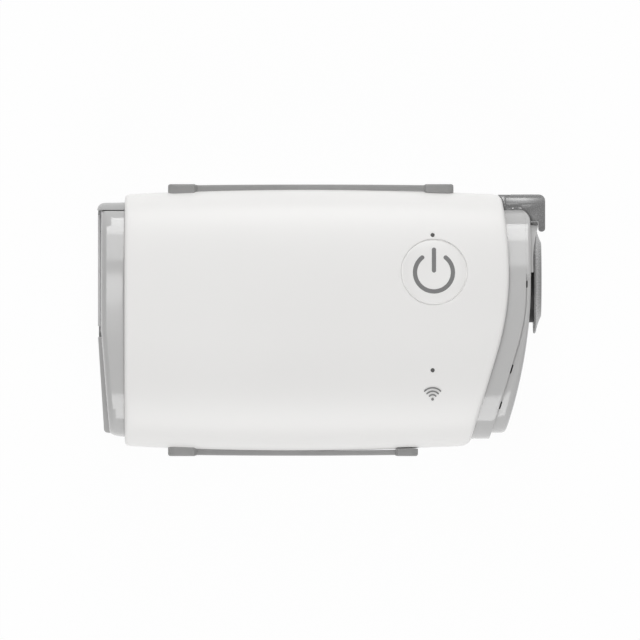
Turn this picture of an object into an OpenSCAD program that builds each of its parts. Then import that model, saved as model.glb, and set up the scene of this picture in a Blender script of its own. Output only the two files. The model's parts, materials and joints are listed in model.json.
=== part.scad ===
// Travel-size positive airway pressure machine, lying on its feet.
// The origin is on the surface it stands on, under the middle of its outer box.
// +X runs from the filter end to the air outlet, +Z is up. All sizes are in millimetres.

/* [Housing] */
// Length of the sleeve from its flat end to the crown of its curved end
sleeve_l = 116.7; // [114:0.1:124]
// Width of the sleeve at its middle
sleeve_w = 79.6; // [78:0.1:84]
// Height of the sleeve at its middle
sleeve_h = 50.4; // [50:0.1:55]
// Wall of the sleeve's two shells
wall = 2; // [1.6:0.1:2.4]
// How much narrower the sleeve is on each side at its ends
barrel_w = 1.45; // [0.5:0.05:2]
// How much lower the sleeve is, above and below, at its ends
barrel_h = 1; // [0.4:0.05:1.5]

/* [Filter end] */
// How far the filter end stands out of the sleeve
inlet_l = 8.5; // [8:0.1:11]
// Wall of the filter cover
cover_wall = 1.5; // [1.2:0.1:1.8]
// How far the frame stands out past the cover
inlet_lip = 0.8; // [0.5:0.1:1.2]
// Width of the frame's strip behind the cover
inlet_strip = 2.4; // [2:0.1:3]
// Height of the frame's panel round the power socket
panel_h = 10.2; // [9.8:0.1:12]
// Thickness of the filter pad
pad_t = 3.6; // [2.5:0.1:3.8]
// Radius of the power socket's body
socket_r = 3.4; // [3:0.05:3.5]
// Radius of the power socket's opening
socket_bore_r = 2.75; // [2.4:0.05:2.8]

/* [Outlet end] */
// How far the end cap's crown stands out of the sleeve's
cap_l = 6.75; // [6:0.05:8]
// How far the outlet frame is set in from the sleeve on each side
end_in_w = 4.75; // [4.65:0.05:5.5]
// How far the outlet frame is set in from the sleeve above and below
end_in_h = 3.6; // [3.2:0.05:4]
// Radius of the air outlet's bore
outlet_r = 9.6; // [8.5:0.1:10]
// Radius of the collar round the outlet
collar_r = 16.5; // [16:0.1:16.8]
// Thickness of the collar at its middle
collar_t = 2.3; // [1.8:0.1:2.5]
// Distance of the outlet's axis behind the middle of the machine
outlet_y = 12.4; // [12:0.1:13]
// How far the hook stands out past the end cap
hook_l = 4.45; // [4.3:0.05:5]
// Height of the hook
hook_h = 13; // [11:0.1:16]
// Radius of the hook's pin
pin_r = 0.9; // [0.7:0.05:1]

/* [Controls] */
// Radius of the start button
button_r = 9.7; // [9:0.1:10]
// Distance of the start button from the sleeve's crown
button_in = 22.7; // [22:0.1:26]
// Distance of the start button behind the middle
button_y = 14.6; // [12:0.1:15]
// How far the start button travels
button_travel = 0.7; // [0.4:0.05:0.8]
// Radius of the indicator lenses
lens_r = 0.6; // [0.5:0.05:1]

/* [Grips and feet] */
// How far the grips stand out of the sleeve at its middle
grip_out = 1.6; // [1.3:0.1:2.2]
// Length of the back grip
grip_back_l = 86.9; // [80:0.1:90]
// Length of the front grip
grip_front_l = 76.1; // [70:0.1:84]
// Height of a grip's end pads
grip_pad_h = 15; // [12:0.1:18]
// Height of a grip between its pads
grip_h = 9; // [6:0.1:11]
// Radius of the rubber feet
foot_r = 5; // [4:0.1:6]
// How far the feet lift the sleeve
foot_h = 1.6; // [1:0.1:3]
// Distance of the feet from the middle, front and back
foot_y = 22; // [18:0.5:24]
// Distance of the feet from the sleeve's ends
foot_in = 17; // [14:0.5:19]

/* [Blower] */
// Distance of the blower's axis from the sleeve's flat end
blower_in = 47.7; // [46:0.1:49]
// Length of the blower's outlet channel, from its axis
channel_l = 24; // [23:0.1:26]
// Width of the blower's outlet channel
channel_w = 10; // [9:0.1:11]
// Radius of the impeller
impeller_r = 17; // [15:0.1:17.6]
// Number of impeller blades
blades = 11; // [7:1:13]
// Height of the air channel inside the volute
volute_h = 18; // [17:0.1:19]
// Wall of the volute
volute_wall = 1.6; // [1.2:0.1:1.8]
// Radius of the motor's shaft
shaft_r = 1.5; // [1.2:0.05:1.8]

/* [Board] */
// Thickness of the circuit board
board_t = 1.6; // [1:0.1:2]
// Height of the board's top above the middle of the housing
board_up = 15.8; // [15.6:0.1:16.4]

/* [Hidden] */
$fn = 64;

// Clearances
gap = 0.3;          // between pieces that move past each other
seat = 0.05;        // between pieces that sit against each other
run = 0.04;         // radial, round a turning pin or shaft

// Places along the machine
total_l = inlet_l + sleeve_l + cap_l + hook_l;
x_left = -total_l / 2;
sleeve_x0 = x_left + inlet_l;
crown_x = sleeve_x0 + sleeve_l;
mid_z = foot_h + sleeve_h / 2;
end_w = sleeve_w - 2 * end_in_w;
end_h = sleeve_h - 2 * end_in_h;
top_n = 2.8;
base_n = 4.5;
end_y = -1.15;

// Curved edges of the outlet end, each as [crown x, crown y, front radius, front slope, back radius]
sleeve_edge = [crown_x, 14, 80, 0.3, 129];
seam_edge = [crown_x + cap_l - 1.55, outlet_y - 3.4, 56, 0.3, 2000];
cap_edge = [crown_x + cap_l, outlet_y, 141, 0.32, 2000];
cap_corner_r = 4;
seam_corner_r = 3;

// ---------- outline functions ----------
function power(v, p) = sign(v) * pow(abs(v), p);
function along(x) = (x - sleeve_x0 - sleeve_l / 2) / (sleeve_l / 2);
function half_w(x) = sleeve_w / 2 - barrel_w * pow(along(x), 2);
function half_h(x) = sleeve_h / 2 - barrel_h * pow(along(x), 2);

// Point of an oval section at angle t, with a flatter base than its top
function oval(t, a, b, yc = 0) =
    let (n = sin(t) >= 0 ? top_n : base_n)
    [yc + a * power(cos(t), 2 / n), mid_z + b * power(sin(t), 2 / n)];

// Place of a curved edge at distance y behind the middle
function edge_x(e, y) =
    let (d = e[1] - y, turn = e[2] * e[3])
    d < 0 ? e[0] - d * d / (2 * e[4]) :
    d < turn ? e[0] - d * d / (2 * e[2]) :
    e[0] - turn * turn / (2 * e[2]) - e[3] * (d - turn);

// How far a corner of radius r draws an edge back at distance y, with its side at y_side
function corner(y, y_side, r) =
    let (d = min(max(abs(y) - abs(y_side) + r, 0), r))
    r - sqrt(r * r - d * d);

function sleeve_end(y) = edge_x(sleeve_edge, y) - corner(y, half_w(crown_x - 4) + 0.2, 2.5);
function back_corner(y, r) = y < 0 ? 0 : corner(y, end_y + end_w / 2, r);
function seam_x(y) = edge_x(seam_edge, y) - back_corner(y, seam_corner_r);
function cap_x(y) = edge_x(cap_edge, y) - back_corner(y, cap_corner_r);

// Height of the sleeve's skin, inset by d, over a place on its upper or lower side
function skin_z(x, y, d, side) =
    let (n = side > 0 ? top_n : base_n, a = half_w(x) - d, b = half_h(x) - d)
    mid_z + side * b * pow(max(1 - pow(abs(y) / a, n), 0), 1 / n);

// Points of a ring: [x, y, z] for each angle, with the x given by a function of the place
function sleeve_ring(u, inset, angles, x_in = 0) =
    let (x = sleeve_x0 + u * sleeve_l)
    [for (t = angles) let (p = oval(t, half_w(x) - inset, half_h(x) - inset))
        [sleeve_x0 + x_in + u * (sleeve_end(p[0]) - 2 * x_in - sleeve_x0), p[0], p[1]]];

// ---------- solids from rows of rings ----------
// Skin over a row of point rings. A closed row joins its last ring to its first,
// and an open one fills its end rings from their first point.
module skin(rings, closed = false) {
    n = len(rings[0]);
    m = len(rings);
    rows = closed ? m : m - 1;
    sides = [for (i = [0:rows - 1], j = [0:n - 1])
        let (a = i * n + j, b = i * n + (j + 1) % n, k = ((i + 1) % m) * n)
        each [[a, k + j, b], [b, k + j, k + (j + 1) % n]]];
    first = [for (j = [1:n - 2]) [0, j, j + 1]];
    last = [for (j = [1:n - 2]) [(m - 1) * n, (m - 1) * n + j + 1, (m - 1) * n + j]];
    polyhedron([for (r = rings) each r], closed ? sides : concat(sides, first, last), convexity = 8);
}

// Skin over a row of bands. Each ring runs out along a band's outer side and back along its inner.
module band_skin(rings) {
    n = len(rings[0]);
    m = len(rings);
    sides = [for (i = [0:m - 2], j = [0:n - 1])
        let (a = i * n + j, b = i * n + (j + 1) % n, k = (i + 1) * n)
        each [[a, k + j, b], [b, k + j, k + (j + 1) % n]]];
    half = n / 2;
    ends = [for (j = [0:half - 2]) let (a = j, b = j + 1, c = n - 2 - j, d = n - 1 - j, k = (m - 1) * n)
        each [[a, b, d], [b, c, d], [k + a, k + d, k + b], [k + b, k + d, k + c]]];
    polyhedron([for (r = rings) each r], concat(sides, ends), convexity = 8);
}

shell_steps = 22;
shell_rows = [[0, 0.9], [0.0025, 0.3], [0.007, 0], [0.1, 0], [0.2, 0], [0.32, 0], [0.44, 0], [0.56, 0],
    [0.68, 0], [0.8, 0], [0.9, 0], [0.993, 0], [0.9975, 0.3], [1, 0.9]];

// Half of the sleeve: the upper half for side 1, the lower for side -1
module half_shell(side) {
    angles = [for (j = [0:shell_steps]) side * 180 * j / shell_steps];
    back = [for (j = [shell_steps:-1:0]) angles[j]];
    rings = [for (r = shell_rows) concat(
        sleeve_ring(r[0], r[1], angles),
        sleeve_ring(r[0], wall, back))];
    band_skin(side > 0 ? rings : [for (i = [len(rings) - 1:-1:0]) rings[i]]);
}

// The whole space inside the sleeve's skin, inset by d
module sleeve_body(d) {
    angles = [for (j = [0:47]) 7.5 * j];
    skin([for (u = [0, 0.25, 0.5, 0.75, 1]) sleeve_ring(u, d, angles, 0.5)]);
}

// ---------- places of inner pieces ----------
board_top = mid_z + board_up;
board_base = board_top - board_t;
button_x = crown_x - button_in;
status_at = [button_x - 0.5, button_y + 11.2];
wireless_at = [button_x - 0.5, -15.2];
boss_at = [for (x = [sleeve_x0 + 13, crown_x - 19], y = [-1, 1]) [x, y * (sleeve_w / 2 - 8.8)]];
post_at = [[sleeve_x0 + 28, -22], [sleeve_x0 + 28, 22], [button_x - 14.3, 24], [button_x + 2, -23]];
foot_at = [for (x = [sleeve_x0 + foot_in, crown_x - foot_in - 5], y = [-foot_y, foot_y]) [x, y]];
tongue_gap = 2;
blower_x = sleeve_x0 + blower_in;
blower_y = outlet_y - impeller_r - 2 * tongue_gap;
volute_r0 = impeller_r + tongue_gap;
volute_r1 = impeller_r + 2 * tongue_gap + channel_w / 2;
channel_x = blower_x + channel_l;
channel_z0 = mid_z - volute_h / 2 + 0.2;
channel_z1 = channel_z0 + volute_h;
grommet_at = [for (t = [147, 217, 322]) let (r = volute_r1 + volute_wall + 5)
    [blower_x + r * cos(t), blower_y + r * sin(t)]];
ear_z = channel_z0 + 1;

// Screws, each with its radius, its head and its reach
screw_r = 1.3;
screw_head_r = screw_r + 1;
screw_head_h = 1.4;
screw_z = [mid_z - 15, mid_z + 9];
post_screw_r = 1.04;
post_head_r = 1.95;
post_reach = 2.8;
ear_screw_r = 1.15;
ear_screw_l = 8.5;

module at(p) translate([p[0], p[1], 0]) children();
module rod(r, z0, z1) translate([0, 0, z0]) cylinder(r = r, h = z1 - z0);
module rod_x(r, x0, x1, y = outlet_y, z = mid_z)
    translate([x0, y, z]) rotate([0, 90, 0]) cylinder(r = r, h = x1 - x0);
module block(p0, p1) translate(p0) cube([p1[0] - p0[0], p1[1] - p0[1], p1[2] - p0[2]]);

// ---------- sleeve ----------
boss_r = 3.2;
post_r = 2.2;
flange_r = button_r + 1.2;
switch_h = 0.9;
plunger_r = 1.2;
flange_z = board_top + switch_h + 0.2 + button_travel;

module top_shell() {
    color([0.93, 0.93, 0.92])
    difference() {
        union() {
            half_shell(1);
            intersection() {
                union() {
                    for (p = boss_at) at(p) rod(boss_r, mid_z, mid_z + sleeve_h / 2);
                    for (p = post_at) at(p) rod(post_r, board_top, mid_z + sleeve_h / 2);
                }
                sleeve_body(wall / 2);
            }
        }
        for (p = boss_at) at(p) rod(screw_r, mid_z - 1, screw_z[1] + 1);
        for (p = post_at) at(p) rod(post_screw_r, board_top - 1, board_top + post_reach + 0.2);
        at([button_x, button_y]) rod(button_r + gap, board_top, mid_z + sleeve_h);
        at(status_at) rod(lens_r + seat, board_top, mid_z + sleeve_h);
        at(wireless_at) rod(lens_r + seat, board_top, mid_z + sleeve_h);
    }
}

foot_z = 1.6;
foot_wall = 1.2;
ear_t = 2;
ear_r = 4.2;
grommet_r = 3;
grommet_rim_r = 4.4;
module bottom_shell() {
    color([0.9, 0.9, 0.89])
    difference() {
        union() {
            half_shell(-1);
            intersection() {
                union() {
                    for (p = boss_at) at(p) rod(boss_r, 0, mid_z);
                    for (p = grommet_at) at(p) rod(grommet_r, 0, ear_z - ear_t);
                    for (p = foot_at) at(p) rod(foot_r + foot_wall, 0, foot_h + foot_z + 1.6);
                }
                sleeve_body(wall / 2);
            }
        }
        for (p = boss_at) at(p) {
            rod(screw_r + 0.2, 0, mid_z + 1);
            rod(screw_head_r + gap, 0, screw_z[0]);
        }
        for (p = foot_at) at(p) rod(foot_r + seat, 0, foot_h + foot_z);
        for (p = grommet_at) at(p) rod(ear_screw_r + seat, ear_z - ear_screw_l - 0.5, ear_z);
    }
}

module rubber_feet() {
    color([0.35, 0.35, 0.36])
    for (p = foot_at) at(p) {
        rod(foot_r - 0.5, 0, 0.5);
        rod(foot_r, 0.5, foot_h + foot_z);
    }
}

// ---------- side grips ----------
pad_l_left = 8.4;
grip_x0 = sleeve_x0 + 13.1;
grip_y = sleeve_w / 2 + grip_out;

// Plan of a grip on the back side: its inner side follows the barrel of the sleeve
module grip_plan(l, end_pad) {
    steps = 24;
    inner = [for (i = [steps:-1:0]) let (x = grip_x0 + l * i / steps) [x, half_w(x) + seat]];
    polygon(concat(
        [[grip_x0, grip_y - 0.7], [grip_x0 + 0.7, grip_y], [grip_x0 + pad_l_left - 0.3, grip_y],
            [grip_x0 + pad_l_left, grip_y - 0.3], [grip_x0 + l - end_pad, grip_y - 0.3],
            [grip_x0 + l - end_pad + 0.3, grip_y], [grip_x0 + l - 0.7, grip_y], [grip_x0 + l, grip_y - 0.7]],
        inner));
}

module pill(x0, x1, h, r) {
    for (x = [x0 + r, x1 - r], z = [-h / 2 + r, h / 2 - r]) translate([x, z]) circle(r);
    translate([x0 + r, -h / 2]) square([x1 - x0 - 2 * r, h]);
    translate([x0, -h / 2 + r]) square([x1 - x0, h - 2 * r]);
}

module grip(l, end_pad) {
    intersection() {
        linear_extrude(mid_z + grip_pad_h) grip_plan(l, end_pad);
        translate([0, sleeve_w, mid_z]) rotate([90, 0, 0]) linear_extrude(sleeve_w) {
            pill(grip_x0, grip_x0 + pad_l_left, grip_pad_h, 2.5);
            pill(grip_x0 + l - end_pad, grip_x0 + l, grip_pad_h, 2.5);
            pill(grip_x0 + 1, grip_x0 + l - 1, grip_h, 2);
        }
    }
}

module side_grip_back() color([0.6, 0.6, 0.6]) grip(grip_back_l, 8.7);
module side_grip_front() color([0.6, 0.6, 0.6]) mirror([0, 1, 0]) grip(grip_front_l, 6.7);

// ---------- filter end ----------
inlet_w = 71.5;
inlet_y = 0.15;
cover_y1 = inlet_y + inlet_w / 2 - inlet_strip;
panel_z = mid_z - end_h / 2 + panel_h;
panel_y = -1.8;
neck_x = sleeve_x0 + 1.2;
cover_back = sleeve_x0 - gap;
round_r = 2.2;

// Left outline of the filter end, for a tip at x and a front corner that is drawn back
function inlet_tip(x, y) = x + (y < -3 ? 0.079 * (-3 - y) : 0) + corner(min(y, 0), inlet_w / 2, 2.2);

// Rings of a block with a rounded tip that faces -X, inset by d, from its base to its tip
function inlet_rings(tip, base, d) =
    let (angles = [for (j = [0:47]) 7.5 * j], a = inlet_w / 2 - d, b = end_h / 2 - d, r = round_r)
    concat(
        [[for (t = angles) let (p = oval(t, a, b, inlet_y)) [base, p[0], p[1]]]],
        [for (f = [0:22.5:90]) let (s = r * (1 - cos(f)))
            [for (t = angles) let (p = oval(t, a - s, b - s, inlet_y))
                [inlet_tip(tip, p[0]) + r * (1 - sin(f)), p[0], p[1]]]],
        [for (k = [0.85, 0.6, 0.35, 0.1])
            [for (t = angles) let (p = oval(t, a - r, b - r, inlet_y), y = inlet_y + (p[0] - inlet_y) * k)
                [inlet_tip(tip, y), y, mid_z + (p[1] - mid_z) * k]]]);

function flipped(rings) = [for (i = [len(rings) - 1:-1:0]) rings[i]];
module inlet_block(tip, base, d) skin(flipped(inlet_rings(tip, base, d)));

// Space that the cover takes: all but the strip behind it and the power panel under it
module cover_space(d) {
    difference() {
        children();
        block([x_left - 5, cover_y1 - d, 0], [sleeve_x0, sleeve_w, 2 * mid_z]);
        block([x_left - 5, panel_y - d, 0], [sleeve_x0, sleeve_w, panel_z + d]);
    }
}

pad_x0 = x_left + inlet_lip + cover_wall;
pad_y = [-26, 26];
grille_x = inlet_tip(pad_x0, pad_y[0]) + pad_t + 0.4;
pad_z = [panel_z + 4.2, mid_z + 12];

module inlet_frame() {
    color([0.42, 0.42, 0.43])
    difference() {
        union() {
            // flange inside the sleeve
            skin([for (x = [neck_x, neck_x + 3]) [for (j = [0:47])
                let (p = oval(7.5 * j, half_w(sleeve_x0) - wall - seat, half_h(sleeve_x0) - wall - seat))
                [x, p[0], p[1]]]]);
            // spigot inside the cover
            cover_space(cover_wall + 2 * gap) inlet_block(pad_x0 + gap, neck_x + 0.5, cover_wall + gap);
            // strip and power panel outside the cover
            difference() {
                inlet_block(x_left, neck_x + 0.5, 0);
                cover_space(0) block([x_left - 5, -sleeve_w, 0], [neck_x + 1, sleeve_w, 2 * mid_z]);
            }
        }
        block([x_left - 1, pad_y[0], pad_z[0]], [grille_x, pad_y[1], pad_z[1]]);
        for (i = [0:10]) let (y = pad_y[0] + 3 + i * 5)
            block([grille_x - 1, y, pad_z[0] + 2], [neck_x + 5, y + 2.6, pad_z[1] - 2]);
        rod_x(socket_r, x_left - 1, x_left + 10, socket_y, socket_z);
    }
}

socket_y = 17;
socket_z = panel_z - 4.9;

module filter_cover() {
    color([0.74, 0.74, 0.73])
    difference() {
        cover_space(gap) inlet_block(x_left + inlet_lip, cover_back, 0);
        difference() {
            inlet_block(x_left + inlet_lip + cover_wall, cover_back + 1, cover_wall);
            block([x_left, cover_y1 - gap - cover_wall, 0], [sleeve_x0, sleeve_w, 2 * mid_z]);
            block([x_left, panel_y - gap - cover_wall, 0], [sleeve_x0, sleeve_w, panel_z + gap + cover_wall]);
        }
        for (i = [0:8]) let (y = -20 + i * 5)
            block([x_left - 1, y, mid_z - 4], [pad_x0 + 1, y + 1.6, mid_z + 12]);
    }
}

module filter_pad() {
    color([0.95, 0.95, 0.93])
    translate([0, 0, pad_z[0] + gap]) linear_extrude(pad_z[1] - pad_z[0] - 2 * gap) polygon([
        for (y = [pad_y[1] - gap, -3, pad_y[0] + gap]) [inlet_tip(pad_x0, y) + gap / 2, y],
        for (y = [pad_y[0] + gap, -3, pad_y[1] - gap]) [inlet_tip(pad_x0, y) + pad_t, y]]);
}

module power_socket() {
    color([0.12, 0.12, 0.12])
    difference() {
        rod_x(socket_r - seat, x_left, x_left + 9.5, socket_y, socket_z);
        rod_x(socket_bore_r, x_left - 1, x_left + 8, socket_y, socket_z);
    }
}

module power_pin() {
    color([0.8, 0.7, 0.45])
    rod_x(0.8, x_left + 1, x_left + 8, socket_y, socket_z);
}

// ---------- outlet end ----------
function end_ring(a_in, b_in, fx, yc = end_y) =
    [for (j = [0:47]) let (p = oval(7.5 * j, end_w / 2 - a_in, end_h / 2 - b_in, yc)) [fx(p[0]), p[0], p[1]]];

end_wall = 2;
seam_gap = 0.25;
flange_back = 5;
// Short vent slots in the seam, each as [distance behind the middle, length]
seam_slots = [[-14.8, 2.7], [-25.8, 2.3], [-33.2, 1.1]];
slot_w = 0.3;
frame_front = 1.2;
// Rings of the outlet frame: flange inside the sleeve, neck, seam, and back along the inside
module outlet_frame() {
    in_w = half_w(crown_x) - wall - seat;
    in_h = half_h(crown_x) - wall - seat;
    function flange_ring(a, b, back) = [for (j = [0:47]) let (p = oval(7.5 * j, a, b))
        [sleeve_end(p[0]) - back, p[0], p[1]]];
    color([0.74, 0.74, 0.73])
    difference() {
        skin([
            flange_ring(in_w, in_h, flange_back),
            flange_ring(in_w, in_h, frame_front),
            end_ring(0, 0, function (y) sleeve_end(y) - frame_front),
            end_ring(0, 0, function (y) seam_x(y) - 0.3),
            end_ring(0.3, 0.3, function (y) seam_x(y)),
            end_ring(end_wall, end_wall, function (y) seam_x(y)),
            end_ring(end_wall, end_wall, function (y) sleeve_end(y) - flange_back)], closed = true);
        block([bracket_x0 - seat, bracket_y, hook_z0 - seat], [bracket_x1 + seat, sleeve_w, hook_z1 + seat]);
    }
}

cap_step = 1.8;
cap_in_z = 1.6;
cap_round_z = 5;
cap_round_y = 1.6;
cap_y = end_y + cap_step / 2;
// Rounded cap: f runs from 0 at the seam to 90 at the flat of the face
function cap_ring(f, d) = end_ring(
    cap_step / 2 + d + cap_round_y * (1 - cos(f)), cap_in_z + d + cap_round_z * (1 - cos(f)),
    function (y) seam_x(y) + 0.4 + (cap_x(y) - seam_x(y) - 0.4) * sin(f), cap_y);
function cap_face(k, d) =
    [for (p = cap_ring(90, d)) let (y = outlet_y + (p[1] - outlet_y) * k, z = mid_z + (p[2] - mid_z) * k)
        [cap_x(y) - d, y, z]];

module outlet_cap() {
    color([0.74, 0.74, 0.73])
    difference() {
        skin([
            cap_face(0.1, end_wall), cap_face(0.4, end_wall), cap_face(0.85, end_wall),
            end_ring(cap_step / 2 + end_wall, cap_in_z + end_wall, function (y) seam_x(y) + seam_gap, cap_y),
            end_ring(cap_step / 2, cap_in_z, function (y) seam_x(y) + seam_gap, cap_y),
            cap_ring(0, 0), cap_ring(20, 0), cap_ring(40, 0), cap_ring(60, 0), cap_ring(90, 0),
            cap_face(0.9, 0), cap_face(0.7, 0), cap_face(0.4, 0), cap_face(0.1, 0)]);
        rod_x(seal_r + seat, crown_x - 20, crown_x + 20);
        for (s = seam_slots) translate([seam_x(s[0]) + seam_gap, s[0], mid_z + end_h / 4])
            rotate(-atan(seam_edge[3])) translate([-slot_w, -s[1] / 2, 0]) cube([2 * slot_w, s[1], end_h / 4]);
    }
    // raised half ring behind the collar
    color([0.78, 0.78, 0.77])
    intersection() {
        turned_x(collar_x - seat - 0.1, [
            for (i = [0:5]) let (r = seal_r + seat + (collar_r + 0.9 - seal_r) * i / 5) [r, -collar_back(r)],
            [collar_r + 0.9 + seat, -3.2], [seal_r + seat, -3.2]]);
        block([crown_x, outlet_y + 2.1, 0], [crown_x + 20, sleeve_w, 2 * mid_z]);
    }
}

port_r = outlet_r + 1.6;
seal_r = port_r + 1.9;
collar_x = crown_x + cap_l + 1.15;
function collar_back(r) = r * r / 220;
function collar_face(r) = r * r / 142;

// Ring turned about the outlet's axis from points [radius, distance in front of x]
module turned_x(x, points) translate([x, outlet_y, mid_z]) rotate([0, 90, 0]) rotate_extrude() polygon(points);

module outlet_collar() {
    color([0.38, 0.38, 0.39])
    turned_x(collar_x, concat(
        [for (i = [0:6]) let (r = port_r + (collar_r - port_r) * i / 6) [r, -collar_back(r)]],
        [for (i = [6:-1:0]) let (r = port_r + (collar_r - port_r) * i / 6) [r, collar_t - collar_face(r)]]));
}

module outlet_seal() {
    color([0.08, 0.08, 0.08])
    turned_x(collar_x, [[port_r + seat, -3], [seal_r, -3], [seal_r, -0.1 - collar_back(seal_r)],
        [port_r + seat, -0.1 - collar_back(port_r)]]);
}

duct_r = outlet_r - 0.5;
duct_end = crown_x - 3;
module outlet_port() {
    color([0.3, 0.3, 0.31])
    turned_x(collar_x, [[duct_r + seat, duct_end - 6 - collar_x], [port_r, duct_end - 6 - collar_x],
        [port_r, 1.2], [outlet_r + 0.6, 2], [outlet_r, 2], [outlet_r, duct_end - collar_x],
        [duct_r + seat, duct_end - collar_x]]);
}

// ---------- hook ----------
hook_z0 = mid_z - hook_h / 2;
hook_z1 = mid_z + hook_h / 2;
hook_y0 = end_y + end_w / 2 + gap;
hook_t = 4.1;
hook_y1 = hook_y0 + hook_t;
hook_tip_r = 0.95;
hook_round = 2;
pin_cap = 1;
hook_leg_y = outlet_y + collar_r + 1.1;
hook_tip_y = outlet_y + collar_r - 1;
hook_x1 = x_left + total_l;
pin_x = crown_x + 1.2;
pin_y = (hook_y0 + hook_y1) / 2;
knuckle_r = 1.95;
knuckle_low = hook_z0 + hook_h * 0.21;
knuckle_up = hook_z1 - hook_h * 0.24;
lug_up = knuckle_low + 3.6;
bracket_x0 = pin_x - 2.85;
bracket_x1 = pin_x + 0.4;
bracket_y = hook_y0 - 1.1;

module at_pin() translate([pin_x, pin_y, 0]) children();

module latch_bracket() {
    color([0.4, 0.4, 0.41])
    difference() {
        union() {
            block([bracket_x0, bracket_y, hook_z0], [bracket_x1, hook_y0 - gap + seat, hook_z1]);
            block([bracket_x0, bracket_y, hook_z0], [pin_x, pin_y, hook_z1]);
            translate([0, 0, hook_z0]) linear_extrude(hook_h) polygon([
                [pin_x, bracket_y + 1], [pin_x, hook_y1 - 0.1],
                for (k = [1:-0.25:0]) let (y = pin_y + (hook_y1 - 0.1 - pin_y) * k) [sleeve_end(y) + 0.12, y]]);
            at_pin() rod(knuckle_r, knuckle_low, lug_up);
        }
        at_pin() rod(knuckle_r + gap, hook_z0 - 1, knuckle_low + gap / 2);
        at_pin() rod(knuckle_r + gap, lug_up, hook_z1 + 1);
        at_pin() rod(pin_r + seat / 2, hook_z0 - 1, hook_z1 + 1);
    }
}

module hook_plan(clear) {
    translate([pin_x + clear, hook_y0]) square([hook_x1 - hook_round - pin_x - clear, hook_y1 - hook_y0]);
    translate([hook_x1 - hook_t, hook_leg_y]) square([hook_t, hook_y1 - hook_leg_y - hook_round]);
    translate([hook_x1 - hook_round, hook_y1 - hook_round]) circle(hook_round);
    translate([hook_x1 - 2 * hook_tip_r, hook_tip_y]) square([2 * hook_tip_r, hook_leg_y + 1 - hook_tip_y]);
    translate([hook_x1 - hook_tip_r, hook_tip_y]) circle(hook_tip_r);
}

module outlet_latch() {
    color([0.42, 0.42, 0.43])
    difference() {
        union() {
            translate([0, 0, hook_z0]) linear_extrude(hook_h) hook_plan(knuckle_r + gap + 0.6);
            for (z = [[hook_z0, knuckle_low - gap], [knuckle_up, hook_z1]]) {
                at_pin() rod(knuckle_r, z[0], z[1]);
                block([pin_x, pin_y - knuckle_r, z[0]], [pin_x + knuckle_r + 1.5, pin_y + knuckle_r, z[1]]);
            }
        }
        at_pin() rod(pin_r + run, hook_z0 - 1, hook_z1 - pin_cap);
    }
}

module latch_pin() {
    color([0.8, 0.8, 0.82])
    at_pin() rod(pin_r, hook_z0 + gap, hook_z1 - pin_cap - gap);
}

spring_wire = 0.42;
module latch_spring() {
    turns = 3.5;
    z0 = lug_up + spring_wire / 2 + 0.1;
    rise = knuckle_up - lug_up - spring_wire - 0.3;
    r = pin_r + run + spring_wire / 2 + 0.12;
    color([0.75, 0.75, 0.77])
    at_pin() skin([for (i = [0:turns * 14]) let (t = 360 * i / 14, z = z0 + rise * i / (turns * 14))
        [for (k = [0:5]) let (q = -60 * k, w = r + spring_wire / 2 * cos(q))
            [w * cos(t), w * sin(t), z + spring_wire / 2 * sin(q)]]]);
}

// ---------- controls ----------
module start_button() {
    lean = -7.5;
    dish_r = 80;
    dish_depth = 0.45;
    color([0.93, 0.93, 0.92])
    difference() {
        union() {
            intersection() {
                at([button_x, button_y]) rod(button_r, flange_z, mid_z + sleeve_h);
                sleeve_body(0.1);
            }
            at([button_x, button_y]) rod(flange_r, flange_z, flange_z + 0.9);
        }
        at([button_x, button_y]) difference() {
            rod(button_r - 1.4, flange_z - 1, flange_z + 1.6);
            rod(2, flange_z - 2, flange_z + 3);
        }
        at(status_at) rod(lens_r + 0.8, flange_z - 1, flange_z + 2);
        translate([button_x, button_y, skin_z(button_x, button_y, 0.1, 1) - dish_depth])
            rotate([lean, 0, 0]) translate([0, 0, dish_r]) sphere(dish_r, $fn = 160);
    }
}

module switch_plunger() {
    color([0.2, 0.2, 0.2])
    at([button_x, button_y]) rod(plunger_r, board_top + switch_h, flange_z);
}

module button_switch() {
    color([0.5, 0.5, 0.52])
    at([button_x, button_y]) difference() {
        block([-3, -3, board_top], [3, 3, board_top + switch_h - 0.1]);
        rod(plunger_r + gap, board_top + switch_h - button_travel - 0.05, board_top + 5);
    }
}

module lens(p) {
    at(p) rod(lens_r, board_top + 0.9, skin_z(p[0], p[1], 0, 1) - 0.03);
}
module status_lens() color([0.4, 0.4, 0.38]) lens(status_at);
module wireless_lens() color([0.4, 0.4, 0.38]) lens(wireless_at);
module led_chips() {
    color([0.95, 0.9, 0.6])
    for (p = [status_at, wireless_at]) at(p) block([-0.8, -0.6, board_top], [0.8, 0.6, board_top + 0.8]);
}

// ---------- board ----------
module circuit_board() {
    color([0.1, 0.35, 0.2])
    difference() {
        translate([0, 0, board_base]) linear_extrude(board_t) polygon([
            [sleeve_x0 + 24, -26.5], [button_x + 4, -26.5], [button_x + 11.5, -8],
            [button_x + 11.5, 12], [button_x + 6, 27.2], [sleeve_x0 + 24, 26.8]]);
        for (p = post_at) at(p) rod(post_screw_r + 0.2, board_base - 1, board_top + 1);
    }
}

module board_chips() {
    color([0.15, 0.15, 0.16]) {
        for (c = [[-6, -12, 10, 10, 1.2], [10, -14, 8, 8, 1], [-16, 6, 7, 5, 1.4], [2, 6, 6, 6, 1.6]])
            translate([blower_x + c[0] + 14, c[1], board_top]) cube([c[2], c[3], c[4]]);
        for (i = [0:3]) translate([blower_x - 12, -18 + 5 * i, board_top]) cylinder(r = 1.8, h = 1.5);
    }
}

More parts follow.
